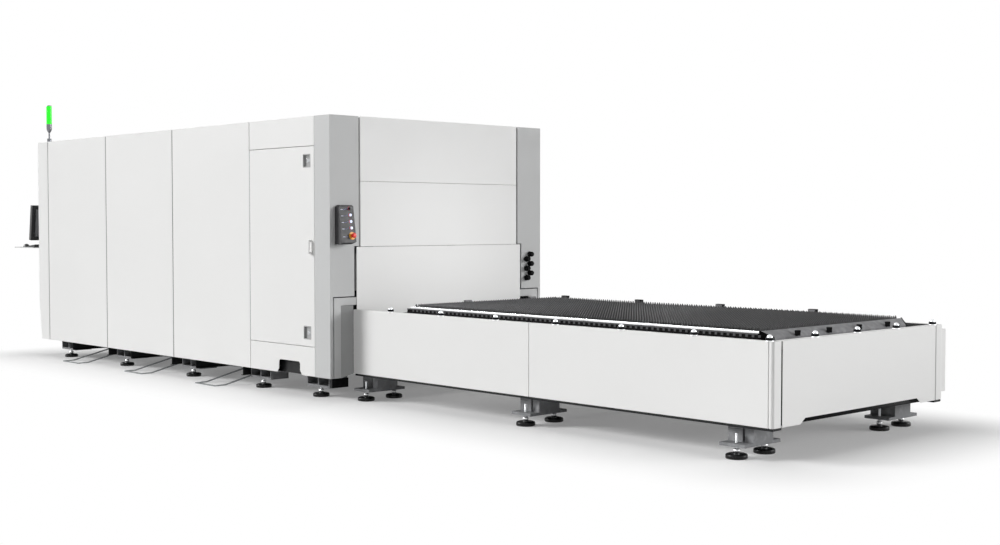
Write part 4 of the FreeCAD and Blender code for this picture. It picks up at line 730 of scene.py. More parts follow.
def mitre(bm):
    """Cuts the ends of a pallet's sloping end plate back towards its lower edge."""
    end = max(v.co.x for v in bm.verts)
    for vert in bm.verts:
        across = vert.co.y - DATUM.y
        if vert.co.x > end - 20 * MM and abs(across) > MITRE_FROM:
            vert.co.y = DATUM.y + math.copysign(MITRE_TO, across)


class CUTTER_OT_panels(bpy.types.Operator):
    """Round the folded edges of the sheet panels, doors, columns and covers"""
    bl_idname = "cutter.panels"
    bl_label = "Panels"

    def execute(self, context):
        fold = context.scene.cutter_sizes.panel_edge
        for node in PANELS:
            eased_node(node, fold, finish_of(node))
        # painted shade: the link covers' chamfers take a darker copy of their grey, for the shade that the
        # column casts on them
        flat = merged("link_covers")
        raised_foot(flat)
        ease(flat, fold)
        flat.normal_update()
        sloped = flat.copy()
        for bm, keeps_slope in ((flat, False), (sloped, True)):
            gone = [f for f in bm.faces if (f.normal.x > 0.5 and abs(f.normal.y) > 0.15) != keeps_slope]
            bmesh.ops.delete(bm, geom=gone, context="FACES")
        shaped("link_covers_finished", flat, "machine", finish_of("link_covers"), ["link_covers"])
        shaped("link_chamfers", sloped, "machine", "link_chamfer_shade_grey")
        # painted shade: near-black sheets close the open ends of the base frame's tubes
        mouth_shades = [side_slab(side, *TUBE_MOUTH_SHADE) for side in (-1, 1)]
        shaped("base_tube_mouths", blocks(mouth_shades), "machine", "deep_black_and_shade")
        # painted shade: dark strips inside the near panels' seams darken the gaps
        seam_shades = [side_slab(-1, (x - SEAM_SHADE_HALF, x + SEAM_SHADE_HALF), SEAM_SHADE_Y, SEAM_SHADE_Z) for x in PANEL_JOINTS]
        shaped("panel_seals", blocks(seam_shades), "machine", "slot_grey")
        return {"FINISHED"}


class CUTTER_OT_structure(bpy.types.Operator):
    """Round the tubes of the frames and break the edges of plates and small parts"""
    bl_idname = "cutter.structure"
    bl_label = "Frames and plates"

    def execute(self, context):
        sizes = context.scene.cutter_sizes
        for node in FRAMES:
            eased_node(node, sizes.frame_edge, finish_of(node), change=mitre if "pallet" in node else None)
        for node in PLATES:
            eased_node(node, sizes.small_edge, finish_of(node))
        return {"FINISHED"}


# ------------------------------------------------------------------------------------------------
# Feet
# ------------------------------------------------------------------------------------------------
# Turned profiles in millimetres, from the floor up
PAD = [(0, 0), (61, 0), (65.4, 4), (65.4, 19), (63.8, 24), (58.9, 28), (50.1, 31), (37.1, 33), (26, 34),
       (22, 35), (0, 35)]
STUD_BALL = [(0, 33), (11, 34), (18, 39), (20.5, 46), (19.5, 53), (15, 59), (10.2, 62), (0, 62)]
STUD_RADIUS = 10 * MM
THREAD_SIDES = 16


class CUTTER_OT_feet(bpy.types.Operator):
    """Put a moulded pad and a threaded ball stud on every foot"""
    bl_idname = "cutter.feet"
    bl_label = "Levelling feet"

    def execute(self, context):
        sizes = context.scene.cutter_sizes
        pad = to_object("pad_member", turned(in_metres(PAD), sizes.turned_sides))
        pads = on_spots("foot_pads_moulded", pad, [foot_of(p) for p in islands("foot_pads")], "foot_rubber")
        piece(pads, "machine", "foot_rubber", ["foot_pads"])
        # the table's studs are longer than the cell's
        studs = islands("foot_studs")
        tall = max(high.z for low, high in studs) - 10 * MM
        for name, group in (("cell_ball_studs", [p for p in studs if p[1].z < tall]),
                            ("table_ball_studs", [p for p in studs if p[1].z >= tall])):
            stud = turned(in_metres(STUD_BALL), sizes.turned_sides)
            # the thread starts inside the ball's neck
            neck = (STUD_BALL[-1][1] - 1) * MM
            thread(STUD_RADIUS, sizes.thread_pitch, neck, group[0][1].z, THREAD_SIDES, stud)
            spots = [Vector((*middle(p).xy, 0.0)) for p in group]
            piece(on_spots(name, to_object(name + "_member", stud), spots, "stud_zinc"), "machine",
                  "stud_zinc", ["foot_studs"])
        return {"FINISHED"}


# ------------------------------------------------------------------------------------------------
# Ball transfers on the table's edge
# ------------------------------------------------------------------------------------------------
# Turned profiles in millimetres, from the table's top sheet up
FLANGE = [(0, 0), (24.5, 0), (24.5, 3), (23.8, 4), (0, 4)]
CUP = [(0, 4), (23.6, 4), (23.6, 17), (22.5, 19), (20.6, 20), (18.6, 19.6), (18, 15), (0, 15)]
BALL_RADIUS, BALL_UP, BALL_RINGS = 17.6, 21, 14


class CUTTER_OT_ball_transfers(bpy.types.Operator):
    """Put a cup and a loose ball on every transfer"""
    bl_idname = "cutter.ball_transfers"
    bl_label = "Ball transfers"

    def execute(self, context):
        sides = context.scene.cutter_sizes.turned_sides
        spots = [foot_of(pair) for pair in islands("ball_transfers")]
        turns = [math.pi * k / BALL_RINGS for k in range(1, BALL_RINGS)]
        ball = [(0, BALL_UP - BALL_RADIUS),
                *((BALL_RADIUS * math.sin(a), BALL_UP - BALL_RADIUS * math.cos(a)) for a in turns),
                (0, BALL_UP + BALL_RADIUS)]
        for part, profile, slot, smooth, replaced in (
                ("flange", FLANGE, "stud_zinc", 35.0, ["ball_transfers"]),
                ("cup", CUP, "cup_black", 35.0, []),
                ("ball", ball, "chrome_steel", 60.0, [])):
            member = to_object(part + "_member", turned(in_metres(profile), sides), smooth)
            piece(on_spots(f"transfer_{part}s", member, spots, slot), "machine", slot, replaced)
        return {"FINISHED"}


# ------------------------------------------------------------------------------------------------
# Slats
# ------------------------------------------------------------------------------------------------
BLADE = 4 * MM                           # the strip's thickness
ALONG_X = Matrix(((0, 0, 1, 0), (1, 0, 0, 0), (0, 1, 0, 0), (0, 0, 0, 1)))


def toothed(low, high, pitch, depth):
    """A slat's outline in Y and Z; each tooth has a steep flank, a burnt tip and a sloping flank."""
    floor = high.z - depth
    outline = [(low.y, low.z), (high.y, low.z), (high.y, floor)]
    for n in range(round((high.y - low.y) / pitch)):
        right = high.y - n * pitch
        outline += [(right - 0.30 * pitch, high.z - 1.5 * MM), (right - 0.42 * pitch, high.z),
                    (right - 0.52 * pitch, high.z - 1.0 * MM), (right - 0.86 * pitch, floor)]
    return [*outline, (low.y, floor)]


class CUTTER_OT_slats(bpy.types.Operator):
    """Cut the teeth of the slats and set the slats across both pallets"""
    bl_idname = "cutter.slats"
    bl_label = "Slats"

    def execute(self, context):
        sizes = context.scene.cutter_sizes
        for level in ("upper", "lower"):
            node = level + "_pallet_slats"
            low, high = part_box(node)
            span, length_on = high.y - low.y, high.x - low.x
            outline = toothed(low, high, span / round(span / sizes.tooth_pitch), sizes.tooth_depth)
            blade = to_object(level + "_blade_member", prism(outline, BLADE, ALONG_X))
            count = round(length_on / sizes.slat_pitch) + 1
            row = in_a_row(level + "_slats_toothed", blade, count, (low.x, 0, 0),
                           ((length_on - BLADE) / (count - 1), 0, 0), "slat_steel")
            piece(row, level + "_pallet", "slat_steel", [node])
        return {"FINISHED"}


# ------------------------------------------------------------------------------------------------
# Sides and ends of the pallets, written in millimetres for the upper one
# ------------------------------------------------------------------------------------------------
RAIL_X, RAIL_Y = (512, 3724), (797.2, 800.0)                        # the plate along a side
BELOW_Z, SLOT_Z, ABOVE_Z = (640, 702), (702, 717), (717, 724)       # under, in and over its openings
POSTS, FIRST_POST = 71, 562                                         # between the openings
# painted shade: the near-black sheet behind the openings stands for the shade inside them
BACK_Y, BACK_Z = (797.05, 797.2), (690, 720)                        # the dark sheet behind them
LEDGE_X, LEDGE_Y, LEDGE_Z = (505, 3724), (797.2, 815), (686, 690)   # the near side's flange
STOPS_X, STOP_HALF = (624, 1428, 2223, 3033), 30.3                  # covers over the far side's stops
STOP_Y, STOP_Z = (797.3, 831.3), (719, 765.3)
GUSSET_REACH, GUSSET_Y = (76, 60), 799.5                            # along and across, on the mitre
BUMPER = [(0, -2), (19, -2), (19, 18), (20, 20), (20, 28), (18, 30), (0, 30)]
BUMPERS = [(3800, y, 704) for y in (-506, -169, 169, 506)]


def gusset(side, move):
    """A plate that stands along the mitred end of the sloping plate."""
    reach = Vector((GUSSET_REACH[0], -side * GUSSET_REACH[1], 0)) * MM
    along = reach.normalized()
    out = Vector((-along.y, along.x, 0)) * side
    foot = at(RAIL_X[1], side * GUSSET_Y, SLOT_Z[0])
    turn = Matrix(((along.x, 0, out.x, foot.x), (along.y, 0, out.y, foot.y),
                   (0, 1, 0, foot.z), (0, 0, 0, 1)))
    bm = prism([(0, -60 * MM), (reach.length, -60 * MM), (reach.length, 3 * MM), (12 * MM, 41 * MM),
                (0, 41 * MM)], 2 * MM, move @ turn)
    bmesh.ops.recalc_face_normals(bm, faces=bm.faces)
    return bm


class CUTTER_OT_pallet_sides(bpy.types.Operator):
    """Line the sides of the pallets with a slotted plate and a flange, and set the bumpers on the end"""
    bl_idname = "cutter.pallet_sides"
    bl_label = "Pallet sides"

    def execute(self, context):
        sizes = context.scene.cutter_sizes
        pitch, gap = sizes.slat_pitch, sizes.slot_width
        for level in ("upper", "lower"):
            body = level + "_pallet"
            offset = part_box(body + "_frame")[0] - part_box("upper_pallet_frame")[0]
            move = Matrix.Translation(offset)
            rails, dark = [], []
            for side, name in ((-1, "near"), (1, "far")):
                rails.append(side_slab(side, RAIL_X, RAIL_Y, ABOVE_Z))
                dark.append(side_slab(side, RAIL_X, RAIL_Y, BELOW_Z))
                # painted shade: a near-black sheet behind the openings stands for the shade inside them
                dark.append(side_slab(side, RAIL_X, BACK_Y, BACK_Z))
                near, far = sorted(side * y * MM for y in RAIL_Y)
                post = to_object(f"{level}_post_member_{name}", blocks(
                    [((0, near, SLOT_Z[0] * MM), (pitch - gap, far, SLOT_Z[1] * MM))]))
                start = at(FIRST_POST, 0, 0) + offset + Vector((gap / 2, 0, 0))
                row = in_a_row(f"{level}_slot_posts_{name}", post, POSTS, start, (pitch, 0, 0), "slot_grey")
                piece(row, body, "slot_grey")
                shaped(f"{level}_end_gusset_{name}", gusset(side, move), body, "deep_black_and_shade")
            if level == "upper":
                dark.append(side_slab(-1, LEDGE_X, LEDGE_Y, LEDGE_Z))
                dark += [side_slab(1, (x - STOP_HALF, x + STOP_HALF), STOP_Y, STOP_Z) for x in STOPS_X]
            shaped(level + "_side_plates", blocks(rails, place=move), body, "slot_grey")
            shaped(level + "_slot_backs", blocks(dark, place=move), body, "deep_black_and_shade")
            bumper = to_object(level + "_bumper_member", turned(in_metres(BUMPER), 6))
            spots = [at(*place) + offset for place in BUMPERS]
            piece(on_spots(level + "_end_bumpers", bumper, spots, "deep_black_and_shade"), body, "deep_black_and_shade")
        return {"FINISHED"}


# ------------------------------------------------------------------------------------------------
# Control box; its profiles and marks are in millimetres on the sloping face, X down and Y to the right
# ------------------------------------------------------------------------------------------------
BOX_FOOT = at(0, -989, 1206)
BOX_DEEP, BOX_SHALLOW, BOX_HIGH = 91 * MM, 45 * MM, 302 * MM
TILT = math.atan2(BOX_DEEP - BOX_SHALLOW, BOX_HIGH)
BUTTONS = {"selector": 275 * MM, "button_1": 225 * MM, "button_2": 175 * MM, "button_3": 125 * MM,
           "stop": 65 * MM}
BORE, COLLAR, STOP_DISC = 11.5, 14.2, 30.0    # radii around the controls
CRESCENT = [(BORE, 0.1), (16.0, 0.1), (15.6, 1.6), (BORE, 1.6)]
LIT_CAP = [(0, -7), (11, -7), (11, 4.5), (10.2, 6.3), (8, 7.5), (4, 7.9), (0, 8)]
SELECTOR = [(0, -7), (11, -7), (11, 11), (10, 12.2), (0, 12.4)]
MUSHROOM = [(0, -7), (11, -7), (11, 17), (12, 20), (18.5, 22), (20, 24), (20, 29), (18.6, 32), (14, 34.6),
            (8, 35.8), (0, 36)]
LINE_HALF, LINE_DROP = 0.6, 7.0               # a legend line's half width, and how far its end drops
LINE_BENDS, LINE_END = (-34, -44), -62        # where the line starts to drop, is level again and ends
BAR_RIGHT, BAR_LEFT, BAR_HALF = -66, -88, 2.5


def on_face(height):
    """The place on the box's sloping face at a height above its foot, Z pointing out of the face."""
    depth = BOX_DEEP - height * (BOX_DEEP - BOX_SHALLOW) / BOX_HIGH
    return (Matrix.Translation(BOX_FOOT + Vector((depth, 0.0, height)))
            @ Matrix.Rotation(math.pi / 2 - TILT, 4, "Y"))


def legend(face, radius, lines, bars):
    """A kinked line from the control to a pale bar at the left."""
    start, level = LINE_BENDS
    small_blocks([((-LINE_HALF, start, 0), (LINE_HALF, -(radius + 1), 0.25)),
                  ((LINE_DROP - LINE_HALF, LINE_END, 0), (LINE_DROP + LINE_HALF, level, 0.25))],
                 0, lines, face)
    slanted = (Matrix.Translation(Vector((LINE_DROP, start + level, 0)) * MM / 2)
               @ Matrix.Rotation(math.atan2(LINE_DROP, start - level), 4, "Z"))
    small_blocks([((-LINE_HALF, -6.2, 0), (LINE_HALF, 6.2, 0.25))], 0, lines, face @ slanted)
    small_blocks([((LINE_DROP - BAR_HALF, BAR_LEFT, 0), (LINE_DROP + BAR_HALF, BAR_RIGHT, 0.3))],
                 0, bars, face)


class CUTTER_OT_control_box(bpy.types.Operator):
    """Build the control box's case, legends, collars, lit buttons, selector and stop button"""
    bl_idname = "cutter.control_box"
    bl_label = "Control box"

    def execute(self, context):
        sides = context.scene.cutter_sizes.turned_sides
        eased_node("control_box", 5 * MM, "control_plastic", 3)
        collars, disc, lines, bars, crescents = (bmesh.new() for _ in range(5))
        for name, height in BUTTONS.items():
            face, radius = on_face(height), STOP_DISC if name == "stop" else COLLAR
            ring = [(radius, 0.1), (radius, 2.0), (radius - 1.2, 3.1), (13.2, 3.1), (BORE, 2.0),
                    (BORE, 0.1)]
            ringed(in_metres(ring), sides, face, disc if name == "stop" else collars)
            if name != "stop":
                ringed(in_metres(CRESCENT), sides, face @ Matrix.Translation((0, -2.6 * MM, 0)), crescents)
            legend(face, radius, lines, bars)
        shaped("button_collars_black", collars, "machine", "black_plastic", ["button_collars"])
        shaped("stop_collar_disc", disc, "machine", "collar_plastic")
        shaped("legend_lines", lines, "machine", "blue_print")
        shaped("legend_bars", bars, "machine", "legend")
        shaped("button_crescents", crescents, "machine", "red_mark")
        for number in (1, 2, 3):
            name = f"button_{number}"
            cap = turned(in_metres(LIT_CAP), sides, on_face(BUTTONS[name]))
            shaped(f"lit_cap_{number}", cap, name, "white_button", ["push_" + name], 50.0)
        face = on_face(BUTTONS["selector"])
        stem = turned(in_metres(SELECTOR), sides, face)
        small_blocks([((-3.8, -11.8, 11), (3.8, 11.8, 21.8))], 1.5, stem, face)
        shaped("selector_handle", stem, "selector", "black_plastic", ["selector_knob"])
        mark = small_blocks([((-0.8, 1, 21.6), (0.8, 10.5, 22))], 0, None, face)
        shaped("selector_mark", mark, "selector", "legend")
        mushroom = turned(in_metres(MUSHROOM), sides, on_face(BUTTONS["stop"]))
        shaped("stop_mushroom", mushroom, "stop", "red_plastic", ["stop_button"], 50.0)
        return {"FINISHED"}


# ------------------------------------------------------------------------------------------------
# Cable glands, signal light, latches
# ------------------------------------------------------------------------------------------------
# Turned profiles in millimetres; the stand's starts on the roof and ends under the lens
GLAND_NUT = [(0, 15.5), (22, 15.5), (22, 36), (21, 39), (18.5, 43), (17, 45), (15, 45.6), (13, 45.2),
             (12.4, 42), (0, 42)]
STAND = [(0, 0), (22, 0), (22, 36), (19, 40), (8, 42), (8, 98), (14, 106), (20, 116), (25.5, 130),
         (27, 142), (27, 188), (0, 188)]
LENS_TIERS, RIB_DEPTH, RIB_EASE = 4, 1.5 * MM, 2 * MM     # the waists between the lens's tiers
LATCH_KNOB = [(0, -31), (7.9, -31), (7.9, -20), (13, -20), (14, -18.5), (14, -12), (12.6, -10.4), (9, -10),
              (0, -10)]
LATCH_GRIP_HALF = 16                             # half the grip's length; it hangs to the node's foot


class CUTTER_OT_glands(bpy.types.Operator):
    """Put a hexagon body, a clamping nut and a plug on every cable gland"""
    bl_idname = "cutter.glands"
    bl_label = "Cable glands"

    def execute(self, context):
        spots = [Vector((pair[0].x, *middle(pair).yz)) for pair in islands("cable_glands")]
        gland = turned(hexagonal(43 * MM, 0.0, 16 * MM), 6)
        turned(in_metres(GLAND_NUT), 24, None, gland)
        turns = [(0.0, math.pi / 2, 0.0)] * len(spots)
        row = on_spots("cable_glands_nylon", to_object("gland_member", gland, 25.0), spots, "deep_black_and_shade",
                       turns)
        piece(row, "machine", "deep_black_and_shade", ["cable_glands"])
        return {"FINISHED"}


class CUTTER_OT_signal_light(bpy.types.Operator):
    """Turn the signal light's stand and its ribbed lens"""
    bl_idname = "cutter.signal_light"
    bl_label = "Signal light"

    def execute(self, context):
        sides = context.scene.cutter_sizes.turned_sides
        low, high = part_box("signal_light_lens")
        centre = foot_of((low, high))
        radius, tier = (high.x - low.x) / 2, (high.z - low.z) / LENS_TIERS
        waist = radius - RIB_DEPTH
        profile = [(0.0, 0.0)]
        for n in range(LENS_TIERS):
            foot, top = n * tier, (n + 1) * tier
            profile += [(waist, foot), (radius, foot + RIB_EASE), (radius, top - RIB_EASE), (waist, top)]
        profile.append((0.0, high.z - low.z))
        lens = turned(profile, sides, Matrix.Translation(centre))
        shaped("signal_lens_ribbed", lens, "machine", "green_lens", ["signal_light_lens"])
        base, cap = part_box("signal_light_stand")
        stand = turned(in_metres(STAND), sides, Matrix.Translation((centre.x, centre.y, base.z)))
        above = cap.z - high.z
        turned([(0, 0), (radius, 0), (radius, 2 * MM), (radius - 2.5 * MM, above - 1.5 * MM),
                (radius - 6 * MM, above), (0, above)], sides,
               Matrix.Translation((centre.x, centre.y, high.z)), stand)
        shaped("signal_stand_turned", stand, "machine", "stand_chrome", ["signal_light_stand"])
        return {"FINISHED"}


class CUTTER_OT_latches(bpy.types.Operator):
    """Turn the two latch knobs with their grips and key slots, and round the piano hinges"""
    bl_idname = "cutter.latches"
    bl_label = "Latches and hinges"

    def execute(self, context):
        sides = context.scene.cutter_sizes.turned_sides
        for node in ("upper_latch", "lower_latch"):
            low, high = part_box(node)
            face = Vector(((low.x + high.x) / 2, low.y, low.z + LATCH_GRIP_HALF * MM))
            out = Matrix.Translation(face) @ Matrix.Rotation(math.pi / 2, 4, "X")
            knob = turned(in_metres(LATCH_KNOB), sides, out)
            small_blocks([((-4, -LATCH_GRIP_HALF, -11), (4, LATCH_GRIP_HALF, 0))], 2.5, knob, out)
            shaped(node + "_knob", knob, body_of(node), NODE_SLOTS[node], [node])
            slot = small_blocks([((-0.9, -6, -0.4), (0.9, 6, 0.15))], 0, None, out)
            shaped(node + "_key_slot", slot, body_of(node), "black_plastic")
        eased_node("door_hinges", 0.6 * MM, NODE_SLOTS["door_hinges"])
        return {"FINISHED"}


# ------------------------------------------------------------------------------------------------
# Operator's console and cutting head, in millimetres
# ------------------------------------------------------------------------------------------------
MONITOR_AT, MONITOR_TILT = at(-5310, -900, 1362), math.radians(7.5)
MONITOR_HALF, MONITOR_TALL, RIM = 195, 185, 14   # half width, half height and the frame round the screen
CASE_X, BEZEL_X = (-80, -40), (-85, -79)
KEYBOARD_AT, KEY_ROWS, KEYS_IN_ROW = at(-5480, -890, 1113), 8, 18
KEYBOARD_DEEP, KEYBOARD_HALF, KEYBOARD_LOW, KEYBOARD_HIGH = 180, 200, 9, 25
MOUSE_AT, MOUSE_HALVES = at(-5528, -1074, 1113.2), Vector((42, 31, 34)) * MM
# The cutting head's turned profile, from the nozzle's tip up
HEAD = [(0, 0), (4.5, 0), (6, 1.5), (6, 3), (10, 18), (13, 19), (16, 30), (16, 34), (30, 64), (30, 70),
        (38, 78), (40, 81), (40, 118), (39, 119), (39, 121), (40, 122), (40, 238), (39, 239), (39, 241),
        (40, 242), (40, 296), (36, 303), (20, 318), (18, 322), (18, 376), (15, 380), (0, 380)]


def upright(place, back):
    """A place whose outline stands in X and Z and whose depth runs from y = back towards the near side."""
    return place @ Matrix(((1, 0, 0, 0), (0, 0, -1, back), (0, 1, 0, 0), (0, 0, 0, 1)))


class CUTTER_OT_console(bpy.types.Operator):
    """Build the monitor's case, back and screen, and the keyboard with its keys and mouse"""
    bl_idname = "cutter.console"
    bl_label = "Console"

    def execute(self, context):
        self.build_monitor()
        self.build_keyboard(context.scene.cutter_sizes.key_pitch)
        self.build_mouse()
        return {"FINISHED"}

    def build_monitor(self):
        body = body_of("monitor")
        place = Matrix.Translation(MONITOR_AT) @ Matrix.Rotation(MONITOR_TILT, 4, "Y")
        half, tall = MONITOR_HALF, MONITOR_TALL
        sill = 2 * RIM - tall
        knuckles = [((-20, y - 14, -22), (24, y + 14, 22)) for y in (-68, 68)]
        case = small_blocks([((CASE_X[0], -half, -tall), (CASE_X[1], half, tall)), *knuckles],
                            4, None, place)
        small_blocks([((BEZEL_X[0], -half, -tall), (BEZEL_X[1], half, sill)),
                      ((BEZEL_X[0], -half, tall - RIM), (BEZEL_X[1], half, tall)),
                      ((BEZEL_X[0], -half, sill), (BEZEL_X[1], RIM - half, tall - RIM)),
                      ((BEZEL_X[0], half - RIM, sill), (BEZEL_X[1], half, tall - RIM))], 1.5, case, place)
        shaped("monitor_case", case, body, "black_plastic", ["monitor"])
        glass = [((-81, RIM - half, sill), (-79.8, half - RIM, tall - RIM))]
        shaped("monitor_screen", small_blocks(glass, 0, None, place), body, "screen_glass")
        hump = prism(in_metres([(-40, -145), (-18, -115), (-18, 85), (-40, 145)]), 310 * MM,
                     upright(place, 155 * MM))
        ease(hump, 5 * MM, 3)
        shaped("monitor_back", hump, body, "back_plastic")
        slits = [((-18.6, -120, z), (-17.6, 120, z + 4)) for z in range(30, 80, 10)]
        shaped("monitor_vents", small_blocks(slits, 0, None, place), body, "black_plastic")

    def build_keyboard(self, pitch):
        body = body_of("keyboard")
        wedge = [(0, 0), (KEYBOARD_DEEP, 0), (KEYBOARD_DEEP, KEYBOARD_HIGH), (0, KEYBOARD_LOW)]
        case = prism(in_metres(wedge), 2 * KEYBOARD_HALF * MM,
                     upright(Matrix.Translation(KEYBOARD_AT), KEYBOARD_HALF * MM))
        ease(case, 3 * MM, 3)
        shaped("keyboard_body", case, body, "black_plastic", ["keyboard"])
        slope = math.atan2(KEYBOARD_HIGH - KEYBOARD_LOW, KEYBOARD_DEEP)
        tilt = Matrix.Translation((0, 0, 8 * MM)) @ Matrix.Rotation(-slope, 4, "Y")
        cap = pitch - 3 * MM
        key = to_object("key_member", blocks([((0, 0, 0), (cap, cap, 6 * MM))], 1.5 * MM, None, tilt))
        row = in_a_row("key_row_member", key, KEYS_IN_ROW, (0, 0, 0), (0, pitch, 0), "black_plastic")
        keys = in_a_row("keyboard_keys", row, KEY_ROWS, KEYBOARD_AT + Vector((6, -188, 0.6)) * MM,
                        (pitch * math.cos(slope), 0, pitch * math.sin(slope)), "black_plastic")
        piece(keys, body, "back_plastic")

    def build_mouse(self):
        bm = bmesh.new()
        bmesh.ops.create_uvsphere(bm, u_segments=32, v_segments=16, radius=1.0, matrix=Matrix.Translation(
            MOUSE_AT) @ Matrix.Diagonal((*MOUSE_HALVES, 1.0)))
        for vert in bm.verts:
            vert.co.z = max(vert.co.z, MOUSE_AT.z)
        shaped("mouse_shell", bm, body_of("keyboard"), "black_plastic")


class CUTTER_OT_cutting_head(bpy.types.Operator):
    """Turn the cutting head's body, cone and nozzle on its slide plate"""
    bl_idname = "cutter.cutting_head"
    bl_label = "Cutting head"

    def execute(self, context):
        node = "cutting_head"
        low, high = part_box(node)
        tip = Vector((high.x - 40 * MM, DATUM.y, low.z))
        head = turned(in_metres(HEAD), context.scene.cutter_sizes.turned_sides, Matrix.Translation(tip))
        plate = Matrix.Translation((low.x, DATUM.y, low.z))
        small_blocks([((0, -55, 80), (20, 55, 340))], 2, head, plate)
        shaped("cutting_head_turned", head, body_of(node), NODE_SLOTS[node], [node])
        return {"FINISHED"}


# ------------------------------------------------------------------------------------------------
# Studio
# ------------------------------------------------------------------------------------------------
CAMERA_AT = Vector((9.2675, -7.2015, 1.374))
CAMERA_AZIMUTH, CAMERA_DOWN = math.radians(46.56), math.radians(2.13)
CAMERA_LENS, CAMERA_SENSOR = 48.43, 36.0
WORLD_LIGHT = 0.14                       # on the machine; what the camera sees of the world is white
FLOOR_HALF = 60.0
FADE_FROM, FADE_OVER = 0.2, 0.95         # the glow's share at the machine, and how far off it is full
# Suns: direction to the lamp, its width in degrees and its power. One stands at the camera's left and one
# at its right, so that the faces that look at the camera are the darkest
SUNS = {"key": ((-0.74, -0.68, 0.45), 22.0, 2.7), "fill": ((0.65, 0.68, 0.25), 24.0, 1.42)}
# Soft lamps: place, aim, width, height, power and spread in degrees
SOFT_LAMPS = {
    "top": ((0.0, 0.0, 10.0), (0.0, 0.0, 0.0), 16.0, 8.0, 80.0, 180.0),
    "door": ((4.4, 0.08, 2.2), (0.89, 0.08, 0.95), 1.0, 0.4, 1.7, 40.0),
    "end": ((9.5, 2.5, 1.6), (4.8, 0.1, 0.45), 2.0, 1.5, 6.0, 60.0),
}


def seen_white(tree):
    """A factor that is 1 for the camera, for mirrors and for glass, and 0 for the light on the object."""
    rays = add_node(tree, "ShaderNodeLightPath").outputs
    seen = add_node(tree, "ShaderNodeMath", {0: rays["Is Camera Ray"], 1: rays["Is Glossy Ray"]},
                    operation="MAXIMUM")
    return add_node(tree, "ShaderNodeMath", {0: seen.outputs[0], 1: rays["Is Transmission Ray"]},
                    operation="MAXIMUM").outputs[0]


def beyond(tree, place, low, high):
    """How far a place on the floor lies outside a rectangle, in metres."""
    centre = (low + high) / 2
    inward = add_node(tree, "ShaderNodeVectorMath", {0: place, 1: (centre.x, centre.y, 0.0)},
                      operation="SUBTRACT")
    spread = add_node(tree, "ShaderNodeVectorMath", {0: inward.outputs[0]}, operation="ABSOLUTE")
    past = add_node(tree, "ShaderNodeVectorMath", {
        0: spread.outputs[0], 1: (high.x - centre.x, high.y - centre.y, 0.0)}, operation="SUBTRACT")
    clear = add_node(tree, "ShaderNodeVectorMath", {0: past.outputs[0], 1: (0.0, 0.0, 0.0)},
                     operation="MAXIMUM")
    far = add_node(tree, "ShaderNodeVectorMath", {0: clear.outputs[0]}, operation="LENGTH")
    return far.outputs["Value"]


def light_world(scene):
    """White to look at, but only a faint light on the machine."""
    scene.world = bpy.data.worlds.new("studio")
    scene.world.use_nodes = True
    tree = scene.world.node_tree
    tree.nodes.clear()
    ambient = add_node(tree, "ShaderNodeBackground", {"Color": (1, 1, 1, 1), "Strength": WORLD_LIGHT})
    backdrop = add_node(tree, "ShaderNodeBackground", {"Color": (1, 1, 1, 1), "Strength": 1.0})
    mixed = add_node(tree, "ShaderNodeMixShader", {
        0: seen_white(tree), 1: ambient.outputs[0], 2: backdrop.outputs[0]})
    add_node(tree, "ShaderNodeOutputWorld", {"Surface": mixed.outputs[0]})


def floor_paint(base):
    """Matt floor paint: it keeps the machine's shadow and fades to the white of the backdrop."""
    made = bpy.data.materials.new("studio_floor_paint")
    made.use_nodes = True
    tree = made.node_tree
    tree.nodes.clear()
    place = add_node(tree, "ShaderNodeTexCoord").outputs["Object"]
    cell, table = (beyond(tree, place, *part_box(node)) for node in ("base_frame", "table_side_panels"))
    away = add_node(tree, "ShaderNodeMath", {0: cell, 1: table}, operation="MINIMUM")
    fade = add_node(tree, "ShaderNodeMapRange", {
        "Value": away.outputs[0], "From Max": FADE_OVER, "To Min": FADE_FROM},
        interpolation_type="SMOOTHSTEP")
    share = add_node(tree, "ShaderNodeMath", {0: fade.outputs[0], 1: seen_white(tree)},
                     operation="MULTIPLY")
    matt = add_node(tree, "ShaderNodeBsdfDiffuse", {"Color": (*base, 1.0)})
    glow = add_node(tree, "ShaderNodeEmission", {"Color": (1, 1, 1, 1), "Strength": 1.0})
    both = add_node(tree, "ShaderNodeMixShader", {
        0: share.outputs[0], 1: matt.outputs[0], 2: glow.outputs[0]})
    add_node(tree, "ShaderNodeOutputMaterial", {"Surface": both.outputs[0]})
    return made


def far_lamp(name, direction, angle, power):
    """A large soft lamp so far away that its light falls evenly over the whole machine."""
    data = bpy.data.lights.new(name, "SUN")
    data.angle, data.energy = math.radians(angle), power
    lamp = linked(name, data)
    lamp.location = Vector(direction) * 20.0
    lamp.rotation_euler = Vector(direction).to_track_quat("Z", "Y").to_euler()


def soft_lamp(name, place, aim, width, height, power, spread):
    data = bpy.data.lights.new(name, "AREA")
    data.spread = math.radians(spread)
    data.shape, data.size, data.size_y, data.energy = "RECTANGLE", width, height, power
    lamp = linked(name, data)
    lamp.visible_camera = False
    lamp.location = place
    lamp.rotation_euler = (Vector(aim) - Vector(place)).to_track_quat("-Z", "Y").to_euler()


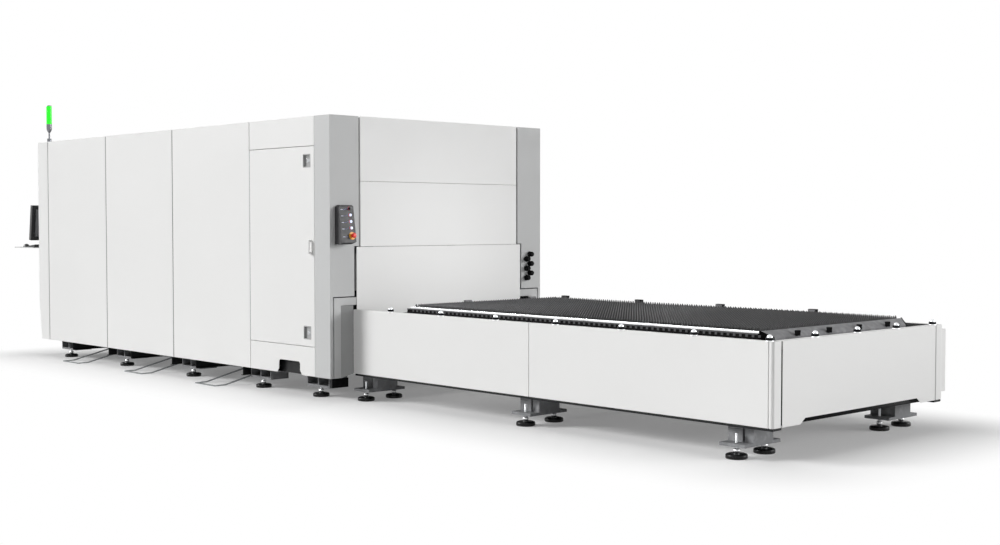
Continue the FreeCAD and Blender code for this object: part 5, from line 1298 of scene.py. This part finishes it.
class CUTTER_OT_studio(bpy.types.Operator):
    """Lay the pale floor, hang the soft lamps and set the camera at the photograph's angle"""
    bl_idname = "cutter.studio"
    bl_label = "Studio"

    def execute(self, context):
        scene = context.scene
        scene.view_settings.view_transform = "Standard"
        light_world(scene)
        bm = bmesh.new()
        bmesh.ops.create_grid(bm, x_segments=1, y_segments=1, size=FLOOR_HALF)
        floor = to_object("studio_floor", bm)
        floor.data.materials.append(floor_paint(scene.cutter_colours.floor))
        for name, settings in SUNS.items():
            far_lamp(name, *settings)
        for name, settings in SOFT_LAMPS.items():
            soft_lamp(name, *settings)

        data = bpy.data.cameras.new("camera")
        data.lens, data.sensor_width = CAMERA_LENS, CAMERA_SENSOR
        data.clip_start, data.clip_end = 0.1, 200.0
        camera = linked("camera", data)
        camera.location = CAMERA_AT
        look = Vector((-math.sin(CAMERA_AZIMUTH) * math.cos(CAMERA_DOWN),
                       math.cos(CAMERA_AZIMUTH) * math.cos(CAMERA_DOWN), -math.sin(CAMERA_DOWN)))
        camera.rotation_euler = look.to_track_quat("-Z", "Y").to_euler()
        scene.camera = camera
        return {"FINISHED"}


# ------------------------------------------------------------------------------------------------
# Sidebar panel and registration
# ------------------------------------------------------------------------------------------------
OPERATORS = [CUTTER_OT_studio, CUTTER_OT_finishes, CUTTER_OT_panels, CUTTER_OT_structure, CUTTER_OT_feet,
             CUTTER_OT_ball_transfers, CUTTER_OT_slats, CUTTER_OT_pallet_sides, CUTTER_OT_control_box,
             CUTTER_OT_glands, CUTTER_OT_signal_light, CUTTER_OT_latches, CUTTER_OT_console,
             CUTTER_OT_cutting_head]


class CUTTER_PT_sidebar(bpy.types.Panel):
    """Lists the machine's pieces with their sizes and colours"""
    bl_idname = "CUTTER_PT_sidebar"
    bl_label = "Laser cutter"
    bl_space_type = "VIEW_3D"
    bl_region_type = "UI"
    bl_category = "Laser cutter"

    def draw(self, context):
        for group in (context.scene.cutter_colours, context.scene.cutter_sizes):
            for name in group.bl_rna.properties.keys():
                if name not in ("rna_type", "name"):
                    self.layout.prop(group, name)
        for operator in OPERATORS:
            self.layout.operator(operator.bl_idname)


CLASSES = [CutterColours, CutterSizes, *OPERATORS, CUTTER_PT_sidebar]


def register():
    for item in CLASSES:
        bpy.utils.register_class(item)
    bpy.types.Scene.cutter_colours = PointerProperty(type=CutterColours)
    bpy.types.Scene.cutter_sizes = PointerProperty(type=CutterSizes)


def unregister():
    del bpy.types.Scene.cutter_colours
    del bpy.types.Scene.cutter_sizes
    for item in reversed(CLASSES):
        bpy.utils.unregister_class(item)


def main():
    register()
    row_tree()
    spot_tree()
    for operator in OPERATORS:
        group, name = operator.bl_idname.split(".")
        getattr(getattr(bpy.ops, group), name)()


if __name__ == "__main__":
    main()
